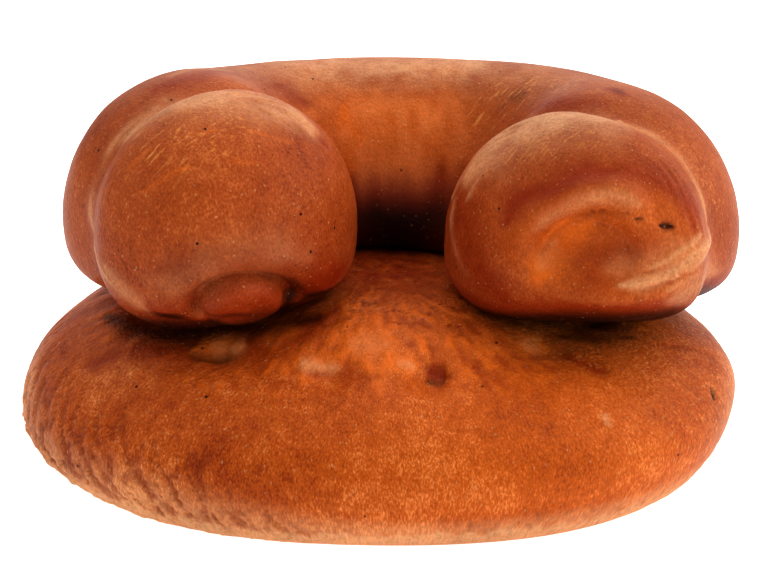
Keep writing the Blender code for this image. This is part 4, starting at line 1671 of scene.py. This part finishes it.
ROLL_MARKS = (
    # Left end: the flaky edge of the wrap, the pale upper rim of painted sheen, its wrinkles and streaks.
    Mark(LEFT_WRAP_EDGE, 0.8, Mask.PALE, 0.6, 0.2),
    Mark(LEFT_UPPER_RIM, 3.2, Mask.PALE, 0.68),
    Mark(((-20, -22, 66), (-11.8, -20.5, 61.5), (-8, -19.8, 57.5)), 0.6, Mask.BAKED, 0.5, -0.35),
    Mark(((-20, -25, 65), (-13, -23.6, 61.3), (-10, -22, 58)), 0.5, Mask.BAKED, 0.4, -0.3),
    Mark(((-39, -31, 57), (-31, -31, 62), (-22, -29, 63)), 5.0, Mask.STRETCHED, 0.75),
    Mark(((-40, -32.8, 56.6), (-36.2, -32.5, 59.6)), 0.35, Mask.GOLDEN, 0.4),
    Mark(((-31, -32, 61.5), (-25, -30.6, 62.6)), 0.35, Mask.GOLDEN, 0.35),
    Mark(((-21, -29.9, 62.3), (-13, -26.6, 59.3)), 0.3, Mask.GOLDEN, 0.35),
    Mark(((-37, -36.2, 53.5), (-32.5, -36.4, 56.4), (-29, -35.9, 57.4)), 0.35, Mask.GOLDEN, 0.4),
    Mark(((-24, -34.6, 58.6), (-17, -32.4, 57.2)), 0.3, Mask.GOLDEN, 0.3),
    Mark(((-16.5, -33.6, 53.6), (-9.4, -28.6, 50)), 3.0, Mask.STRETCHED, 0.35),
    # Left end: painted shade in the nub's crease and the creases beside it, and browner painted shade round
    # the nub.
    Mark(NUB_CREASE, 0.55, Mask.CREASE, 0.8),
    Mark(((-36, -38.5, 40), (-30, -40, 40.5), (-22, -40.5, 45), (-12, -34, 42)), 4.0, Mask.PALE, 0.2),
    Mark(OVER_NUB, 2.8, Mask.BAKED, 0.5),
    Mark(OVER_NUB, 3.2, Mask.CREASE, 0.1),
    Mark(((-12, -31, 35), (-6, -26, 36)), 5.5, Mask.BAKED, 0.95),
    Mark(((-15.7, -27.5, 30.8), (-14.4, -29.8, 34), (-14.2, -30.6, 35.6)), 1.3, Mask.CREASE, 0.95, -0.4),
    Mark(UNDER_NUB, 0.7, Mask.CREASE, 0.6, -0.3),
    # The golden left side of the bend, and the pale lower rim of the left end, a painted reflection.
    Mark(((-6.1, 13.3, 58.7), (-4.2, 11.5, 54), (-4.1, 8.5, 48)), 4.0, Mask.GOLDEN, 0.8),
    Mark(((-44.9, -33.6, 40.3), (-40.7, -35.9, 35.8), (-37.7, -36.5, 33.9)), 1.8, Mask.PALE, 0.4),
    # Left arm: the dark band of painted shade behind the wrap and the pale crest of painted sheen over it.
    Mark(LEFT_VALLEY_SHADE, 2.2, Mask.BAKED, 0.8),
    Mark(((-37.6, -4.5, 67.7), (-30, 10, 68), (-19.4, 18, 65.6), (-11, 19.7, 64.8)), 1.6, Mask.PALE, 0.4),
    # Right end: the flaky edge of the wrap, a line inside it, and the spots and streaks behind it.
    Mark(RIGHT_WRAP_EDGE, 0.8, Mask.PALE, 0.85, 0.3),
    Mark(OUTER_WRAP_EDGE, 0.8, Mask.PALE, 0.9, 0.3),
    Mark(((15.8, -22.8, 48.2), (17.4, -21.9, 52.3), (20.7, -23.7, 55.9)), 0.4, Mask.PALE, 0.5, 0.15),
    Mark(((29.6, -0.3, 60.8), (33.4, -4.7, 63), (41.3, -10.3, 63.1)), 2.0, Mask.BAKED, 0.75),
    Mark(((45, -10, 62), (53, -14, 57), (59, -17, 50), (60, -19, 43)), 2.2, Mask.STRETCHED, 0.7),
    Mark(((42.4, -4.9, 65.4), (45.4, -6.9, 64.9)), 1.0, Mask.BAKED, 0.9),
    Mark(((43.4, -5.6, 65.2), (45, -6.6, 65)), 0.6, Mask.CREASE, 0.4),
    Mark(((26, 10, 61.5), (29.5, 11, 62.5)), 0.8, Mask.CREASE, 0.4),
    Mark(((20, 12, 57), (28.7, 12, 62.9), (37, 2.5, 65.2)), 4.0, Mask.STRETCHED, 0.9),
    # Right end: the pale edge down its left side, the upper rim with painted sheen, the maroon
    # groove under it and the raised lip with painted reflection.
    Mark(FACE_SIDE, 0.7, Mask.PALE, 0.5, 0.2),
    Mark(RIGHT_UPPER_RIM, 3.8, Mask.PALE, 0.78),
    Mark(((20, -24, 56), (28, -26, 60), (38, -27, 61)), 3.0, Mask.STRETCHED, 0.6),
    Mark(MAROON_GROOVE, 2.2, Mask.BAKED, 0.85, -0.3),
    Mark(OUTER_GROOVE, 2.2, Mask.BAKED, 0.65),
    Mark(RAISED_LIP, 1.5, Mask.PALE, 0.4),
    # Right end: the crease and the small hole, dark with painted shade, and the floor of its hollow.
    Mark(FOLD_CREASE, 0.5, Mask.CREASE, 0.2, -0.5),
    Mark(((26.5, -36, 39), (28, -35, 42), (31, -33.2, 45.5), (35, -34, 47.5)), 3.4, Mask.GOLDEN, 0.85),
    Mark(FOLD_CREASE[:4], 0.8, Mask.GOLDEN, 1.0),
    Mark(((31.5, -33.7, 48), (34, -34.6, 49.6), (38, -36.4, 50.4)), 0.4, Mask.CREASE, 0.4, -0.2),
    Mark(((27, -36, 41), (29.5, -34, 44.5)), 1.6, Mask.PALE, 0.25),
    Mark(((34, -37, 38), (38, -36, 43), (46, -37, 45)), 3.4, Mask.BAKED, 0.45),
    Mark(((45.9, -36.7, 48.1), (48.0, -36.3, 47.5)), 0.6, Mask.CREASE, 0.9, -0.8),
    Mark(((41.3, -37.4, 49.7), (43.2, -37.3, 49.8)), 0.3, Mask.CREASE, 0.8, -0.2),
    # Right end: the wrinkled ridge low on the right, paler dough with a painted highlight, the paler foot
    # under it with painted reflection, the brown inner side.
    Mark(PALE_RIDGE, 1.2, Mask.PALE, 0.75, 0.35),
    Mark(((44, -38.9, 41.4), (50, -37, 43.6), (53, -34, 46)), 0.7, Mask.PALE, 0.7, 0.25),
    Mark(((47, -38.7, 37.7), (53, -35.5, 39.8)), 0.7, Mask.PALE, 0.45, 0.2),
    Mark(((41, -39.3, 40.4), (47, -38.5, 40.9), (51.5, -36.2, 42.7)), 0.4, Mask.BAKED, 0.6, -0.3),
    Mark(((43, -39.4, 38), (49, -38, 39.6), (53, -35, 41.6)), 0.4, Mask.BAKED, 0.6, -0.3),
    Mark(((38, -38.5, 41.5), (45, -38, 42.5), (50, -36, 45)), 2.5, Mask.PALE, 0.22),
    Mark(OUTER_FOOT, 2.6, Mask.PALE, 0.4),
    Mark(((14, -20, 50), (15, -23, 44), (18, -28, 38)), 5.0, Mask.BAKED, 0.5),
    Mark(((17.8, -29, 39.2), (19.1, -30.6, 36.1), (22.4, -32.8, 34)), 2.6, Mask.BAKED, 0.7),
)


# Studio ---------------------------------------------------------------------------


@dataclass(frozen=True)
class SoftLight:
    """A soft patch of white light in the tent: the way it lies in and its strength."""

    direction: Point
    strength: float


@dataclass
class Studio:
    """A white sweep in a tent of soft light, and the camera. In metres."""

    target: Point = (0.0, 0.0, 0.035)
    distance: float = 0.216
    elevation: float = math.radians(15.91)
    view_down: float = math.radians(18.55)
    focal_pixels: float = 1100.0
    frame_pixels: float = 780.0
    shift_pixels: float = 14.86
    sensor: float = 36.0
    floor_half_side: float = 6.0
    floor_white: float = 0.86
    floor_glow: float = 0.45
    floor_shine: float = 0.5
    floor_roughness: float = 0.9
    floor_gloss: float = 0.2
    light_spread: float = 6.0
    lights: tuple[SoftLight, ...] = (
        SoftLight((0.0, 0.0, 1.0), 0.75),
        SoftLight((0.0, 0.50, 0.87), 1.28),
        SoftLight((0.0, 0.91, 0.42), 0.96),
        SoftLight((0.91, 0.0, 0.42), 2.97),
        SoftLight((-0.91, 0.0, 0.42), 0.79),
        SoftLight((0.64, -0.64, 0.42), 0.36),
        SoftLight((-0.64, -0.64, 0.42), 0.57),
    )
    contrast: float = 1.25

    def camera(self) -> bpy.types.Object:
        """Place the camera at the photograph's angle.

        Returns:
            The camera.
        """
        data = bpy.data.cameras.new("camera")
        data.sensor_width = self.sensor
        data.lens = self.sensor * self.focal_pixels / self.frame_pixels
        data.shift_x = self.shift_pixels / self.frame_pixels
        camera = bpy.data.objects.new("camera", data)
        back = Vector((0.0, -math.cos(self.elevation), math.sin(self.elevation)))
        ahead = Vector((0.0, math.cos(self.view_down), -math.sin(self.view_down)))
        right = Vector((1.0, 0.0, 0.0))
        turned = Matrix((right, right.cross(ahead), -ahead)).transposed().to_4x4()
        turned.translation = Vector(self.target) + self.distance * back
        camera.matrix_world = turned
        bpy.context.scene.collection.objects.link(camera)
        bpy.context.scene.camera = camera
        return camera

    def floor(self) -> bpy.types.Object:
        """Lay the plain pale floor.

        Returns:
            The floor.
        """
        half = self.floor_half_side
        mesh = bpy.data.meshes.new("floor")
        corners = [(x * half, y * half, 0.0) for x, y in ((-1, -1), (1, -1), (1, 1), (-1, 1))]
        mesh.from_pydata(corners, [], [(0, 1, 2, 3)])
        white = bpy.data.materials.new("floor_white")
        white.use_nodes = True
        graph = Graph(white.node_tree)
        seen = graph.add("LightPath").outputs["Is Camera Ray"]
        looks = {"Base Color": solid((self.floor_white,) * 3), "Roughness": self.floor_roughness}
        looks.update({"Specular IOR Level": self.floor_gloss, "Emission Color": solid(WHITE)})
        looks["Emission Strength"] = graph.math("MULTIPLY_ADD", seen, self.floor_shine, self.floor_glow)
        graph.feed(white.node_tree.nodes["Principled BSDF"], looks)
        mesh.materials.append(white)
        floor = bpy.data.objects.new("floor", mesh)
        bpy.context.scene.collection.objects.link(floor)
        return floor

    def sky(self) -> bpy.types.World:
        """Light the scene with the tent's soft patches, all white to the camera.

        Returns:
            The world.
        """
        world = bpy.data.worlds.new("light_tent")
        world.use_nodes = True
        graph = Graph(world.node_tree)
        way = graph.add("TexCoord").outputs["Generated"]
        level = 0.0
        for light in self.lights:
            middle = tuple(Vector(light.direction).normalized())
            facing = graph.vector("DOT_PRODUCT", way, middle)
            power = graph.math("MULTIPLY_ADD", facing, self.light_spread, -self.light_spread)
            patch = graph.math("EXPONENT", power)
            level = graph.math("MULTIPLY_ADD", patch, light.strength, level)
        seen = graph.add("LightPath").outputs["Is Camera Ray"]
        strength = graph.math("MAXIMUM", level, seen)
        background = world.node_tree.nodes["Background"]
        graph.feed(background, {"Color": solid(WHITE), "Strength": strength})
        bpy.context.scene.world = world
        return world

    def build(self) -> None:
        """Set up the camera, the floor and the light."""
        self.camera()
        self.floor()
        self.sky()
        view = bpy.context.scene.view_settings
        view.view_transform = "Standard"
        view.gamma = 1.0 / self.contrast


def main() -> None:
    """Build the studio and both breads in order."""
    logging.basicConfig(level=logging.INFO, format="%(message)s")
    Studio().build()
    groups = (CrustGrain().group(), CrustTone().group())
    bun = RoundBun()
    roll = HorseshoeRoll(bun)
    for piece in (bun.build(roll, groups), roll.build(groups)):
        faces = sum(len(polygon.vertices) - 2 for polygon in piece.data.polygons)
        LOG.info("%s: %d triangles", piece.name, faces)


if __name__ == "__main__":
    main()
